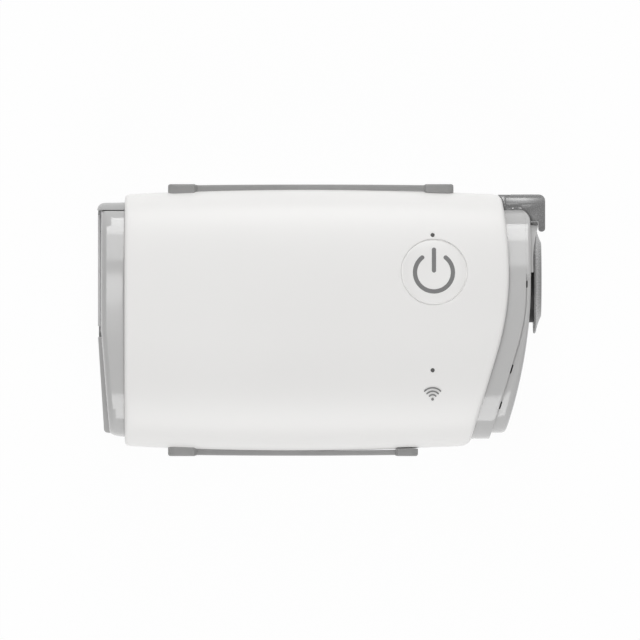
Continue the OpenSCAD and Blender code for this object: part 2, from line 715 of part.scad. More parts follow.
module board_screws() {
    color([0.75, 0.75, 0.76])
    for (p = post_at) at(p) {
        rod(post_screw_r - seat, board_base, board_top + post_reach);
        rod(post_head_r, board_base - 1, board_base);
    }
}

module shell_screws() {
    color([0.6, 0.6, 0.62])
    for (p = boss_at) at(p) {
        rod(screw_r - seat, screw_z[0], screw_z[1]);
        rod(screw_head_r, screw_z[0] - screw_head_h, screw_z[0]);
    }
}

// ---------- pressure sensing ----------
sense_x = channel_x + 20;
sense_r = 1.1;
sensor_h = 1.4;
module pressure_sensor() {
    color([0.85, 0.85, 0.83])
    translate([sense_x, outlet_y, 0]) {
        block([-3.5, -3.5, board_base - sensor_h], [3.5, 3.5, board_base]);
        rod(sense_r - 0.5, board_base - 2.6, board_base - sensor_h + 0.1);
    }
}
module sense_tube() {
    color([0.85, 0.85, 0.85])
    translate([sense_x, outlet_y, 0]) difference() {
        rod(sense_r, mid_z + duct_r + 0.1, board_base - sensor_h - seat);
        rod(sense_r - 0.45, mid_z + duct_r - 1, board_base);
    }
}

// ---------- outlet duct ----------
module outlet_duct() {
    bore = outlet_r - 1.3;
    x0 = channel_x + seat;
    x1 = x0 + 15;
    color([0.82, 0.83, 0.84])
    difference() {
        union() {
            hull() {
                block([x0, outlet_y - channel_w / 2 - volute_wall, channel_z0 - volute_wall],
                    [x0 + 1.6, outlet_y + channel_w / 2 + volute_wall, channel_z1 + volute_wall]);
                rod_x(duct_r + 0.5, x1 - 0.5, x1, $fn = 32);
            }
            rod_x(duct_r, x1 - 2, duct_end);
            rod_x(duct_r + 1.2, duct_end - 7.6, duct_end - 6.1);
        }
        hull() {
            block([x0 - 1, outlet_y - channel_w / 2, channel_z0 + 1],
                [x0 + 0.1, outlet_y + channel_w / 2, channel_z1 - 1]);
            rod_x(bore + 0.4, x1 - 1.5, x1 - 1, $fn = 32);
        }
        rod_x(bore, x1 - 2, duct_end + 1);
    }
}

// ---------- blower ----------
// Outline of the scroll, widened by d: its radius grows clockwise from the tongue to the outlet
module scroll(d) {
    steps = 60;
    translate([blower_x, blower_y]) {
        polygon([for (i = [0:steps])
            let (t = 90 - 360 * i / steps, r = volute_r0 + d + (volute_r1 - volute_r0) * i / steps)
            [r * cos(t), r * sin(t)]]);
        translate([0, volute_r1 - channel_w - d]) square([channel_x - blower_x, channel_w + 2 * d]);
    }
}

volute_split = mid_z;
module volute_ring(z0, z1) {
    translate([0, 0, z0]) linear_extrude(z1 - z0) difference() {
        scroll(volute_wall);
        scroll(0);
    }
}

module volute_lower() {
    color([0.55, 0.56, 0.58])
    difference() {
        union() {
            translate([0, 0, channel_z0 - volute_wall]) linear_extrude(volute_wall) scroll(volute_wall);
            volute_ring(channel_z0, volute_split);
            for (p = grommet_at) {
                translate([0, 0, ear_z]) linear_extrude(ear_t) {
                    translate(p) circle(ear_r);
                    d = [p[0] - blower_x, p[1] - blower_y];
                    translate(p) rotate(atan2(-d[1], -d[0]))
                        translate([0, -2.5]) square([norm(d) - volute_r0 + 1, 5]);
                }
            }
            at([blower_x, blower_y]) rod(bearing_r + 1, upper_bearing_z - 0.2, channel_z0);
        }
        at([blower_x, blower_y]) rod(bearing_r, upper_bearing_z - 0.3, upper_bearing_z + bearing_h);
        at([blower_x, blower_y]) rod(shaft_r + 0.5, channel_z0 - 5, channel_z0 + 1);
        for (p = grommet_at) at(p) rod(grommet_r, ear_z - 1, ear_z + ear_t + 1);
        // inside of the scroll stays clear of the ears
        translate([0, 0, channel_z0]) linear_extrude(volute_h) scroll(0);
    }
}

module volute_upper() {
    color([0.6, 0.61, 0.63])
    difference() {
        union() {
            volute_ring(volute_split, channel_z1);
            translate([0, 0, channel_z1]) linear_extrude(volute_wall) scroll(volute_wall);
            at([blower_x, blower_y]) rod(11, channel_z1, channel_z1 + volute_wall + 1);
        }
        at([blower_x, blower_y]) rod(9, channel_z1 - 1, channel_z1 + 5);
    }
}

blade_t = 0.9;
blade_sweep = [-12, -38];
blade_z = [7.5, 13.5];
eye_r = 8.6;
disc_t = 1.1;
hub_h = 9;

// Blade that curves back from radius r0 to r1
module blade(r0, r1) {
    steps = 8;
    function mid(i) =
        let (k = i / steps, r = r0 + (r1 - r0) * k, t = blade_sweep[0] * k + blade_sweep[1] * k * k)
        [r * cos(t), r * sin(t)];
    function side(i, s) =
        let (a = mid(max(i - 1, 0)), b = mid(min(i + 1, steps)), d = (b - a) / norm(b - a))
        mid(i) + s * blade_t / 2 * [-d[1], d[0]];
    linear_extrude(blade_z[1] + 1)
        polygon([for (i = [0:steps]) side(i, 1), for (i = [steps:-1:0]) side(i, -1)]);
}

impeller_z = channel_z0 + 1.2;
module impeller() {
    color([0.9, 0.9, 0.88])
    translate([blower_x, blower_y, impeller_z]) difference() {
        union() {
            cylinder(r = impeller_r, h = disc_t);
            cylinder(r = shaft_r + 2, h = hub_h);
            intersection() {
                for (i = [0:blades - 1]) rotate(360 * i / blades) blade(shaft_r + 5, impeller_r - 0.2);
                rotate_extrude() polygon([[0, disc_t / 2], [impeller_r, disc_t / 2], [impeller_r, blade_z[0]],
                    [eye_r, blade_z[1]], [0, blade_z[1]]]);
            }
        }
        translate([0, 0, -1]) cylinder(r = shaft_r, h = hub_h + 3);
    }
}

bearing_r = 3.6;
bearing_h = 2.2;
upper_bearing_z = channel_z0 - 0.6 - bearing_h;
can_z0 = foot_h + wall + 1.2;
stator_z = [can_z0 + 3.9, channel_z0 - volute_wall - 2.1];
stator_r = 12;
magnet_r = 5;
tooth_r = 5.8;
tooth_w = 2.4;
shoe_w = 5.2;

module motor_shaft() {
    color([0.8, 0.8, 0.82])
    at([blower_x, blower_y]) rod(shaft_r, can_z0 + 1.2, impeller_z + hub_h + 0.6);
}

module motor_magnet() {
    color([0.25, 0.25, 0.27])
    at([blower_x, blower_y]) difference() {
        rod(magnet_r, stator_z[0] - 0.3, stator_z[1] + 0.2);
        rod(shaft_r, stator_z[0] - 1, stator_z[1] + 1);
    }
}

module motor_bearings() {
    color([0.7, 0.7, 0.72])
    at([blower_x, blower_y]) for (z = [can_z0 + 1, upper_bearing_z]) difference() {
        rod(bearing_r - 0.01, z, z + bearing_h);
        rod(shaft_r + run, z - 1, z + bearing_h + 1);
    }
}

module motor_stator() {
    color([0.45, 0.45, 0.47])
    at([blower_x, blower_y]) difference() {
        union() {
            difference() {
                rod(stator_r, stator_z[0], stator_z[1]);
                rod(stator_r - 2, stator_z[0] - 1, stator_z[1] + 1);
            }
            for (i = [0:5]) rotate(60 * i) {
                block([tooth_r, -tooth_w / 2, stator_z[0]], [stator_r - 1, tooth_w / 2, stator_z[1]]);
                block([tooth_r, -shoe_w / 2, stator_z[0]], [tooth_r + 1, shoe_w / 2, stator_z[1]]);
            }
        }
        rod(magnet_r + 0.6, stator_z[0] - 1, stator_z[1] + 1);
    }
}

module motor_windings() {
    color([0.72, 0.4, 0.2])
    at([blower_x, blower_y]) for (i = [0:5]) rotate(60 * i) difference() {
        block([tooth_r + 1.1, -tooth_w, stator_z[0] - 1], [stator_r - 2.5, tooth_w, stator_z[1] + 1]);
        block([tooth_r, -tooth_w / 2 - seat, stator_z[0] - seat],
            [stator_r, tooth_w / 2 + seat, stator_z[1] + seat]);
    }
}

module motor_can() {
    color([0.5, 0.5, 0.52])
    at([blower_x, blower_y]) difference() {
        rod(stator_r + 1, can_z0, channel_z0 - volute_wall);
        rod(stator_r + seat, can_z0 + 1, channel_z0);
        rod(shaft_r + 0.6, can_z0 - 1, can_z0 + 2);
    }
    color([0.5, 0.5, 0.52])
    at([blower_x, blower_y]) difference() {
        rod(bearing_r + 1.2, can_z0 + 0.5, can_z0 + 1 + bearing_h);
        rod(bearing_r, can_z0 + 1, can_z0 + 4);
        rod(shaft_r + 0.6, can_z0, can_z0 + 2);
    }
}

module blower_grommets() {
    color([0.15, 0.15, 0.15])
    for (p = grommet_at) at(p) difference() {
        union() {
            rod(grommet_rim_r, ear_z - ear_t, ear_z);
            rod(grommet_r - seat / 2, ear_z - 0.1, ear_z + ear_t + 0.1);
            rod(grommet_rim_r, ear_z + ear_t, ear_z + 2 * ear_t);
        }
        rod(ear_screw_r + 0.45, ear_z - 3, ear_z + 5);
    }
}

module blower_screws() {
    color([0.75, 0.75, 0.76])
    for (p = grommet_at) at(p) {
        rod(ear_screw_r, ear_z - ear_screw_l, ear_z + 2 * ear_t);
        rod(3, ear_z + 2 * ear_t, ear_z + 2 * ear_t + screw_head_h);
    }
}

// ---------- inlet muffler ----------
module muffler_foam() {
    x0 = neck_x + 3.2;
    color([0.3, 0.3, 0.32])
    difference() {
        block([x0, -24, mid_z - 18], [x0 + 5, 24, board_base - 1]);
        for (y = [-16, 0, 16]) rod_x(4, x0 - 1, x0 + 6, y, mid_z);
    }
}

top_shell();
bottom_shell();
side_grip_back();
side_grip_front();
rubber_feet();
inlet_frame();
filter_cover();
filter_pad();
power_socket();
power_pin();
outlet_frame();
outlet_cap();
outlet_seal();
outlet_collar();
outlet_port();
latch_bracket();
outlet_latch();
latch_pin();
latch_spring();
start_button();
switch_plunger();
button_switch();
status_lens();
wireless_lens();
led_chips();
circuit_board();
board_chips();
board_screws();
shell_screws();
pressure_sensor();
sense_tube();
outlet_duct();
volute_lower();
volute_upper();
impeller();
motor_shaft();
motor_magnet();
motor_stator();
motor_windings();
motor_bearings();
motor_can();
blower_grommets();
blower_screws();
muffler_foam();
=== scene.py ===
# %% [markdown]
# # A travel breathing machine, dressed for its portrait
#
# The CAD model gives us every piece of a small positive airway pressure machine in its real place.
# In this lesson we put a skin on it: lofted meshes, materials made from nodes, and the light of a
# catalogue picture taken from straight above. We load the model first and keep its outer box, so
# that at the end we can print its size beside the dressed one's.

# %% Load the imported model
import json
import math
import bmesh
import bpy
import numpy as np
from numpy import array, concatenate, cos, linspace, radians, sin, where
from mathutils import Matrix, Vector

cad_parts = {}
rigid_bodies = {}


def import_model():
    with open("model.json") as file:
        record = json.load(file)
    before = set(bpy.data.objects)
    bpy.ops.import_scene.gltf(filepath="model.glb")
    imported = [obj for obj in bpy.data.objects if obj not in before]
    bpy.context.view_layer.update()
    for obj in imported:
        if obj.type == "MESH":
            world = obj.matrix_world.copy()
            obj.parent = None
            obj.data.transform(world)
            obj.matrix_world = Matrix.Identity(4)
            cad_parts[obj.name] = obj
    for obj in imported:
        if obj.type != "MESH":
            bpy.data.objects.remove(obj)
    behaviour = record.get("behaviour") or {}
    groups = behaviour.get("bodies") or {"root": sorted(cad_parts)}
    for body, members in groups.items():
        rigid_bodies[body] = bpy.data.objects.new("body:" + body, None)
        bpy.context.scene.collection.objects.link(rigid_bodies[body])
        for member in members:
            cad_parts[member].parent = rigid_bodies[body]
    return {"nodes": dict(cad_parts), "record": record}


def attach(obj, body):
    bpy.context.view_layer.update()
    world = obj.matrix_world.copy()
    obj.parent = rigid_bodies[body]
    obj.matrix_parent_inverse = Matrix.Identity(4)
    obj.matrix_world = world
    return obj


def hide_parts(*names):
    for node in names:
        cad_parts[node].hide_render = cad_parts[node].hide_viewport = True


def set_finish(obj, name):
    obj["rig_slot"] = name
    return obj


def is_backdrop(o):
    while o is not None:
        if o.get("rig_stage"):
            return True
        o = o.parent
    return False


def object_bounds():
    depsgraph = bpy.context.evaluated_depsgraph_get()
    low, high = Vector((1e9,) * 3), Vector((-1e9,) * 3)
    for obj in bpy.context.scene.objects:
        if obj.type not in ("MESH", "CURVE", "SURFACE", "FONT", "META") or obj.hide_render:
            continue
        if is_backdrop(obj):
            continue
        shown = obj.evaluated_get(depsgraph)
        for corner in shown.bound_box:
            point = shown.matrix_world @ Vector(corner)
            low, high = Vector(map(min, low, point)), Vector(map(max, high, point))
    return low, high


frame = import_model()
cad_box = [list(corner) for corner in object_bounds()]
nodes = frame["nodes"]

# %% [markdown]
# ## Sizes
#
# A scene can't read the CAD source, so it repeats the sizes that it needs, in millimetres, as a
# maker would write them. They could be measured from the nodes' boxes, but no radius or curve can
# be read from a box.

# %% Sizes of the machine in millimetres
MM = 0.001
sleeve_l, sleeve_w, sleeve_h, wall = 116.7, 79.6, 50.4, 2.0
barrel_w, barrel_h = 1.45, 1.0
inlet_l, cover_wall, inlet_lip, inlet_strip = 8.5, 1.5, 0.8, 2.4
cap_l, hook_l, outlet_r, collar_r, outlet_y = 6.75, 4.45, 9.6, 16.5, 12.4
end_w, end_h, end_y = 70.1, 43.2, -1.15
gap, seat = 0.3, 0.05
x_left = -(inlet_l + sleeve_l + cap_l + hook_l) / 2
sleeve_x0 = x_left + inlet_l
crown_x = sleeve_x0 + sleeve_l
mid_z = 1.6 + sleeve_h / 2
TOP_N, BASE_N = 2.8, 4.5
print(f"sleeve from x {sleeve_x0:.1f} to {crown_x:.1f} mm, middle at z {mid_z:.1f} mm")

# %% [markdown]
# ## The outline of a barrel
#
# The sleeve's section is a superellipse, flatter below than above, and along its length it swells
# like a barrel. A subdivided cage could come close, but a formula lets every neighbour, such as the
# grips, follow the very same skin. Its angle runs fast over the flat parts, so we space the points
# by length along the outline.

# %% Section of the sleeve and its neighbours
def oval(t, a, b, centre_y=0.0):
    c, s = cos(t), sin(t)
    n = where(s >= 0, TOP_N, BASE_N)
    y = centre_y + a * np.sign(c) * np.abs(c) ** (2 / n)
    return y, mid_z + b * np.sign(s) * np.abs(s) ** (2 / n)


def even_angles(lo, hi, count):
    """Angles that step evenly along the section's outline, from lo to hi in degrees."""
    t = radians(linspace(lo, hi, 8001))
    y, z = oval(t, sleeve_w / 2, sleeve_h / 2)
    run = concatenate([[0], np.cumsum(np.hypot(np.diff(y), np.diff(z)))])
    return np.interp(linspace(0, run[-1], count), run, t)


def along(x):
    return (x - sleeve_x0 - sleeve_l / 2) / (sleeve_l / 2)


def half_w(x):
    return sleeve_w / 2 - barrel_w * along(x) ** 2


def half_h(x):
    return sleeve_h / 2 - barrel_h * along(x) ** 2


def skin_z(x, y, inset=0.0):
    """Height of the sleeve's upper skin over a place."""
    a, b = half_w(x) - inset, half_h(x) - inset
    return mid_z + b * np.maximum(1 - (np.abs(y) / a) ** TOP_N, 0) ** (1 / TOP_N)


FULL_TURN = even_angles(0, 360, 241)[:-1]


def section(x, inset, angles=FULL_TURN):
    return oval(angles, half_w(x) - inset, half_h(x) - inset)


print("section points:", len(FULL_TURN))

# %% [markdown]
# ## The slanting end
#
# Seen from above, the outlet end runs back in a long curve towards the front. It could be drawn as
# a spline. We take a crown, a radius that leads into a straight slope and a larger radius behind,
# because the same form then serves the sleeve's end, its seam and the end cap.

# %% Curved edges seen from above
# Each edge is the crown's x and y, the radius in front, the slope and the radius behind
SLEEVE_EDGE = (crown_x, 14, 80, 0.3, 129)
SEAM_EDGE = (crown_x + cap_l - 1.55, outlet_y - 3.4, 56, 0.3, 2000)
CAP_EDGE = (crown_x + cap_l, outlet_y, 141, 0.32, 2000)
SLEEVE_CORNER_R, SEAM_CORNER_R, CAP_CORNER_R = 2.5, 3.0, 4.0


def edge_x(edge, y):
    x0, y0, front_r, slope, back_r = edge
    d = y0 - y
    turn = front_r * slope
    bent = x0 - d * d / (2 * where(d < 0, back_r, front_r))
    return where(d < turn, bent, x0 - turn * turn / (2 * front_r) - slope * (d - turn))


def corner(y, y_side, r):
    """How far a corner of radius r draws an edge back near its side."""
    d = np.clip(np.abs(y) - abs(y_side) + r, 0, r)
    return r - np.sqrt(r * r - d * d)


def sleeve_end(y):
    return edge_x(SLEEVE_EDGE, y) - corner(y, half_w(crown_x - 4) + 0.2, SLEEVE_CORNER_R)


def outlet_curve(edge, r):
    """An edge of the outlet end, with its back corner rounded."""
    return lambda y: edge_x(edge, y) - where(y < 0, 0, corner(y, end_y + end_w / 2, r))


seam_x, cap_x = outlet_curve(SEAM_EDGE, SEAM_CORNER_R), outlet_curve(CAP_EDGE, CAP_CORNER_R)
print("cap reaches from", cap_x(array([-34.0, outlet_y, 33.0])).round(2), "mm")

# %% [markdown]
# ## Shapes from rows of points
#
# Nearly all pieces are lofts: rows of points, one ring after the other, with a skin over them.
# Blocks, rods and turned profiles are lofts too, so one function closes the skin of them all.

# %% Points and faces
def ring(x, y, z):
    return np.stack(np.broadcast_arrays(np.asarray(x, float), y, z), axis=-1)


def loft(rings, closed=False):
    """Points and faces of a skin over rows of points. An open row gets its two ends filled."""
    count, row = len(rings), len(rings[0])
    steps = [(i * row, (i + 1) % count * row) for i in range(count if closed else count - 1)]
    sides = [(j, (j + 1) % row) for j in range(row)]
    faces = [(i + j, i + e, k + e, k + j) for i, k in steps for j, e in sides]
    if not closed:
        faces += [tuple(range(row))[::-1], tuple((count - 1) * row + j for j in range(row))]
    return concatenate(rings), faces


def round_over(r, count, stop=90):
    """Steps of a rounding, as pairs of distances from the two faces that it joins."""
    turn = radians(linspace(0, stop, count))
    return r * (1 - np.stack([sin(turn), cos(turn)], 1))


def prism(outline, low, high):
    """An outline seen from above, pulled up from one height to another."""
    x, y = array(outline, float).T
    return loft([ring(x, y, low), ring(x, y, high)])


def block(low, high):
    x, y, z = zip(low, high)
    return prism([(x[0], y[0]), (x[1], y[0]), (x[1], y[1]), (x[0], y[1])], *z)


def turned(profile, centre, axis="x", steps=96):
    """Skin of a closed profile of (radius, distance along the axis), turned about an axis."""
    r, w = array(profile, float).T
    rings = []
    for angle in linspace(0, 2 * np.pi, steps, endpoint=False):
        u, v = r * cos(angle), r * sin(angle)
        rings.append(array(centre) + np.stack([w, u, v] if axis == "x" else [u, v, w], 1))
    return loft(rings, closed=True)


def rod(radius, start, length, axis="x", steps=96):
    points, _ = turned([(radius, 0), (radius, length)], start, axis, steps)
    return loft([points[0::2], points[1::2]])


def several(*shapes):
    """One mesh from several that don't touch."""
    points, faces, shift = [], [], 0
    for p, f in shapes:
        points.append(p)
        faces += [tuple(v + shift for v in face) for face in f]
        shift += len(p)
    return concatenate(points), faces


print("a rod of 8 steps has", len(rod(1, (0, 0, 0), 1, "z", 8)[1]), "faces")

# %% [markdown]
# ## From shapes to pieces
#
# Openings come from Booleans, which are exact when both meshes are clean and closed, and a small
# bevel gives cut edges the soft line of a moulded edge. Each piece then says which body it rides
# on, which CAD nodes it stands for and which material slot it belongs to.

# %% Make, carve, soften and place
scene = bpy.context.scene


def in_scene(name, data):
    obj = bpy.data.objects.new(name, data)
    scene.collection.objects.link(obj)
    return obj


def mesh_object(name, shape):
    points, faces = shape
    mesh = bpy.data.meshes.new(name)
    mesh.from_pydata((points * MM).tolist(), [], faces)
    made = bmesh.new()
    made.from_mesh(mesh)
    bmesh.ops.remove_doubles(made, verts=made.verts, dist=1e-7)
    bmesh.ops.recalc_face_normals(made, faces=made.faces)
    made.to_mesh(mesh)
    made.free()
    return in_scene(name, mesh)


def apply_modifiers(obj):
    depsgraph = bpy.context.evaluated_depsgraph_get()
    final = bpy.data.meshes.new_from_object(obj.evaluated_get(depsgraph))
    obj.modifiers.clear()
    obj.data = final


def carve(obj, *shapes, operation="DIFFERENCE"):
    """Cuts shapes or other pieces out of a piece, keeps only what they share, or adds them."""
    for shape in shapes:
        tool = mesh_object("carving_tool", shape) if isinstance(shape, tuple) else shape
        step = obj.modifiers.new("carve", "BOOLEAN")
        step.object, step.operation, step.solver = tool, operation, "EXACT"
        apply_modifiers(obj)
        bpy.data.objects.remove(tool)


def soften(obj, width, segments=3, angle=38):
    """Rounds the edges that are sharper than an angle."""
    step = obj.modifiers.new("soften", "BEVEL")
    step.width, step.segments, step.limit_method = width * MM, segments, "ANGLE"
    step.angle_limit, step.use_clamp_overlap = radians(angle), True
    apply_modifiers(obj)


def shade(obj, angle):
    obj.data.shade_smooth()
    obj.data.set_sharp_from_angle(angle=radians(angle))


def place(obj, body, slot, *stands_for, angle=32):
    """The piece rides on a body, belongs to a material slot and stands for CAD nodes."""
    shade(obj, angle)
    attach(obj, body)
    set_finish(obj, slot)
    if stands_for:
        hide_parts(*stands_for)
    size = (array(obj.dimensions) / MM).round(1)
    print(f"{obj.name}: {len(obj.data.polygons)} faces, size {size} mm")
    return obj


def piece(name, shape, body, slot, *stands_for, cuts=(), edge=0, angle=32):
    """Makes a piece, cuts it, rounds its edges and places it."""
    obj = mesh_object(name, shape)
    carve(obj, *cuts)
    if edge:
        soften(obj, edge, 2, 50)
    return place(obj, body, slot, *stands_for, angle=angle)


# %% [markdown]
# ## The white sleeve
#
# The real sleeve is two injection-moulded shells that meet under the grips. A bevelled cube would
# lose the swelling, so we loft each shell: the outer skin, the same rings set in by the wall, and a
# quarter circle where the skin turns into the open end.

# %% Loft the two shells
EDGE_R, SKIN_IN = 1.2, 0.02


def shell_rows():
    """Steps along the sleeve as (share of the length, distance from the nearer end, inset)."""
    start = [(0, d, inset) for inset, d in round_over(EDGE_R, 7)]
    middle = [(u, 0, 0) for u in linspace(0.02, 0.98, 56)]
    return start + middle + [(1, -d, inset) for _, d, inset in start[::-1]]


def sleeve_ring(u, shift, inset, angles):
    y, z = section(sleeve_x0 + u * sleeve_l, inset, angles)
    return ring(sleeve_x0 + u * (sleeve_end(y) - sleeve_x0) + shift, y, z)


def half_shell(side):
    angles = even_angles(0, 180 * side, 121)
    rings = []
    for u, shift, inset in shell_rows():
        outer = sleeve_ring(u, shift, inset + SKIN_IN, angles)
        rings.append(concatenate([outer, sleeve_ring(u, 0, wall, angles)[::-1]]))
    return loft(rings)


print("rows in a shell:", len(shell_rows()))

# %% [markdown]
# The button and the two lenses need round holes in the top. The button's is cut with a plug that
# flares where it comes through the skin, because the flare leaves a softer edge than a bevel.

# %% Cut the holes in the top
BUTTON = array([crown_x - 22.7, 14.6])
STATUS = BUTTON + (-0.5, 11.2)
WIRELESS = array([BUTTON[0] - 0.5, -15.2])
LENS_R, BUTTON_HOLE_R = 0.6, 10.0
BOARD_TOP = mid_z + 15.8
HOLE_FLARE = [(0, -0.24), (0.02, -0.16), (0.08, -0.08), (0.18, -0.02), (0.45, 0.04)]


def about_button(r, steps):
    """A circle round the button's middle."""
    spin = linspace(0, 2 * np.pi, steps, endpoint=False)
    return BUTTON[0] + r * cos(spin), BUTTON[1] + r * sin(spin)


def button_hole():
    x, y = about_button(BUTTON_HOLE_R, 160)
    rings = [ring(x, y, BOARD_TOP)]
    for wider, above in HOLE_FLARE:
        x, y = about_button(BUTTON_HOLE_R + wider, 160)
        rings.append(ring(x, y, skin_z(x, y, SKIN_IN) + above))
    return loft(rings + [ring(x, y, mid_z + 40)])


lens_holes = [rod(LENS_R + seat, (*p, BOARD_TOP), 20, "z", 40) for p in (STATUS, WIRELESS)]
piece("white_top_shell", half_shell(1), "housing", "white_shell", "top_shell",
      cuts=[button_hole(), several(*lens_holes)])

# %% [markdown]
# The lower shell has shallow wells for the feet and four deep screw holes, which the portrait
# doesn't show. The portrait doesn't show them, but the machine is judged from all sides.

# %% Carve the lower shell
FOOT_R, SCREW_HOLE_R = 5.0, 2.6
FEET = [(x, y) for x in (sleeve_x0 + 17, crown_x - 22) for y in (-22, 22)]
BOSSES = [(x, y * (sleeve_w / 2 - 8.8)) for x in (sleeve_x0 + 13, crown_x - 19) for y in (-1, 1)]
wells = [rod(FOOT_R + seat, (*p, -1), 4.2, "z", 64) for p in FEET]
screw_holes = [rod(SCREW_HOLE_R, (*p, -1), 10, "z", 48) for p in BOSSES]
piece("white_bottom_shell", half_shell(-1), "housing", "white_shell", "bottom_shell",
      cuts=[several(*wells, *screw_holes)])

# %% [markdown]
# ## The start button
#
# The button follows the barrel at its rim and dips in the middle, so that a finger finds it in the
# dark. It could be carved with a big ball, but rings of points lifted to the skin and pressed down
# by the dish blend without a crease. The cap sits a hair askew in its hole, so its rim shows most
# at the upper right and the lower left.

# %% Height of the button's face
BUTTON_R, SKIRT_R, FLANGE_R, BUTTON_BORE_R = 9.7, 9.97, 10.9, 8.3
DISH_R, DISH_DEPTH, DISH_LEAN, DISH_BLEND = 80.0, 0.45, radians(-7.5), 0.35
RIM_R, RIM_TILT, TILT_FROM, TILT_OVER = 0.22, 0.32, 7.3, 2.2


def button_z(x, y):
    skin = skin_z(x, y, 0.1)
    lowest = skin_z(BUTTON[0], BUTTON[1], 0.1) - DISH_DEPTH
    dx, dy = x - BUTTON[0], y - BUTTON[1]
    dish = lowest + dy * math.tan(DISH_LEAN) + (dx * dx + dy * dy) / (2 * DISH_R)
    d = (skin - dish) / DISH_BLEND
    mixed = (skin + dish) / 2 - DISH_BLEND * (1 + d * d) / 4
    reach = np.hypot(dx, dy)
    edge = np.clip((reach - (BUTTON_R - RIM_R)) / RIM_R, 0, 1)
    away = np.clip((reach - TILT_FROM) / TILT_OVER, 0, 1)
    tilt = RIM_TILT * (dx + dy) / np.maximum(1.414 * reach, 0.01) * away * away
    face = where(np.abs(d) < 1, mixed, np.minimum(skin, dish))
    return face - tilt - RIM_R * (1 - np.sqrt(1 - edge * edge))


FLANGE_Z = BOARD_TOP + 1.8
reaches = [*linspace(0.02, 7.6, 20), *linspace(8.0, 9.4, 8), 9.5, 9.58, 9.64, 9.68, BUTTON_R]
button_rings = []
for r in reaches:
    x, y = about_button(r, 144)
    button_rings.append(ring(x, y, button_z(x, y)))
button_rings.append(ring(*about_button(SKIRT_R, 144), button_rings[-1][:, 2] - 0.02))
for r, above in ((SKIRT_R, 0.9), (FLANGE_R, 0.9), (FLANGE_R, 0), (BUTTON_BORE_R, 0),
                 (BUTTON_BORE_R, 1.6), (0.5, 1.6)):
    button_rings.append(ring(*about_button(r, 144), FLANGE_Z + above))
piece("start_button_cap", loft(button_rings), "button", "button_white", "start_button", angle=50)

# %% [markdown]
# ## Printed signs
#
# The signs are pad-printed in grey. An image could do it, but a print is also a very thin layer of
# paint, so we model it: a stroke with round ends that follows the surface and stands a few
# hundredths of a millimetre proud. It stays crisp at any distance.

# %% Print strokes on a surface
PAINT_LIFT, PAINT_DEPTH = 0.025, 0.05


def stroke(path, width, height):
    """A line of paint of a given width with round ends, laid on a surface z = height(x, y)."""
    path = array(path, float)
    ahead = np.gradient(path, axis=0)
    ahead /= np.linalg.norm(ahead, axis=1, keepdims=True)
    half, turns = width / 2, radians(linspace(85, 0, 8))
    rows = [(path[0] - ahead[0] * half * sin(f), ahead[0], cos(f)) for f in turns]
    rows += [(p, a, 1.0) for p, a in zip(path[1:-1], ahead[1:-1])]
    rows += [(path[-1] + ahead[-1] * half * sin(f), ahead[-1], cos(f)) for f in turns[::-1]]
    rings = []
    for p, a, share in rows:
        side = array([-a[1], a[0]]) * half * share
        across = [p + side * k for k in (-1, -0.5, 0, 0.5, 1)]
        top = [(*q, float(height(*q)) + PAINT_LIFT) for q in across]
        under = [(*q, float(height(*q)) - PAINT_DEPTH) for q in across[::-1]]
        rings.append(array(top + under))
    return loft(rings)


def arc(centre, radius, start, stop, count=60):
    t = radians(linspace(start, stop, count))
    return np.stack([centre[0] + radius * cos(t), centre[1] + radius * sin(t)], 1)


SIGN_AT, SIGN_R, SIGN_W, SIGN_GAP = BUTTON + (-0.1, -0.15), 5.75, 1.3, 38
power_ring = stroke(arc(SIGN_AT, SIGN_R, 90 + SIGN_GAP, 450 - SIGN_GAP, 90), SIGN_W, button_z)
power_bar = stroke([SIGN_AT + (0, d) for d in linspace(0.6, 6.9, 14)], SIGN_W, button_z)
power_sign = piece("power_sign_print", several(power_ring, power_bar), "button", "button_white")

# %% [markdown]
# The wireless sign is a plain dot with three arcs, the generic sign for radio.

# %% Print the wireless sign
RADIO_AT = array([BUTTON[0] - 0.5, -24.0])
radio = [stroke([RADIO_AT - (0.01, 0), RADIO_AT + (0.01, 0)], 0.8, skin_z)]
radio += [stroke(arc(RADIO_AT, r, 45, 135, 30), 0.42, skin_z) for r in (1.35, 2.4, 3.45)]
radio_sign = piece("wireless_sign_print", several(*radio), "housing", "white_shell")

# %% [markdown]
# ## The grips
#
# A grey rubber strip runs along each side, thicker at its two end pads. Flat outlines, as in the
# CAD, would leave sharp edges that moulded rubber never has, so we loft it along the machine: each
# section hugs the sleeve and is a rounded slab outside.

# %% Loft a grip
GRIP_X0, PAD_L, GRIP_OUT, PAD_STEP = sleeve_x0 + 13.1, 8.4, 1.6, 0.7
PAD_H, STRIP_H = 15.0, 9.0
GRIP_END_R, GRIP_TIP_R, GRIP_EDGE_R = 2.5, 0.7, 0.6


def smooth_step(x, start, width):
    k = np.clip((x - start) / width + 0.5, 0, 1)
    return k * k * (3 - 2 * k)


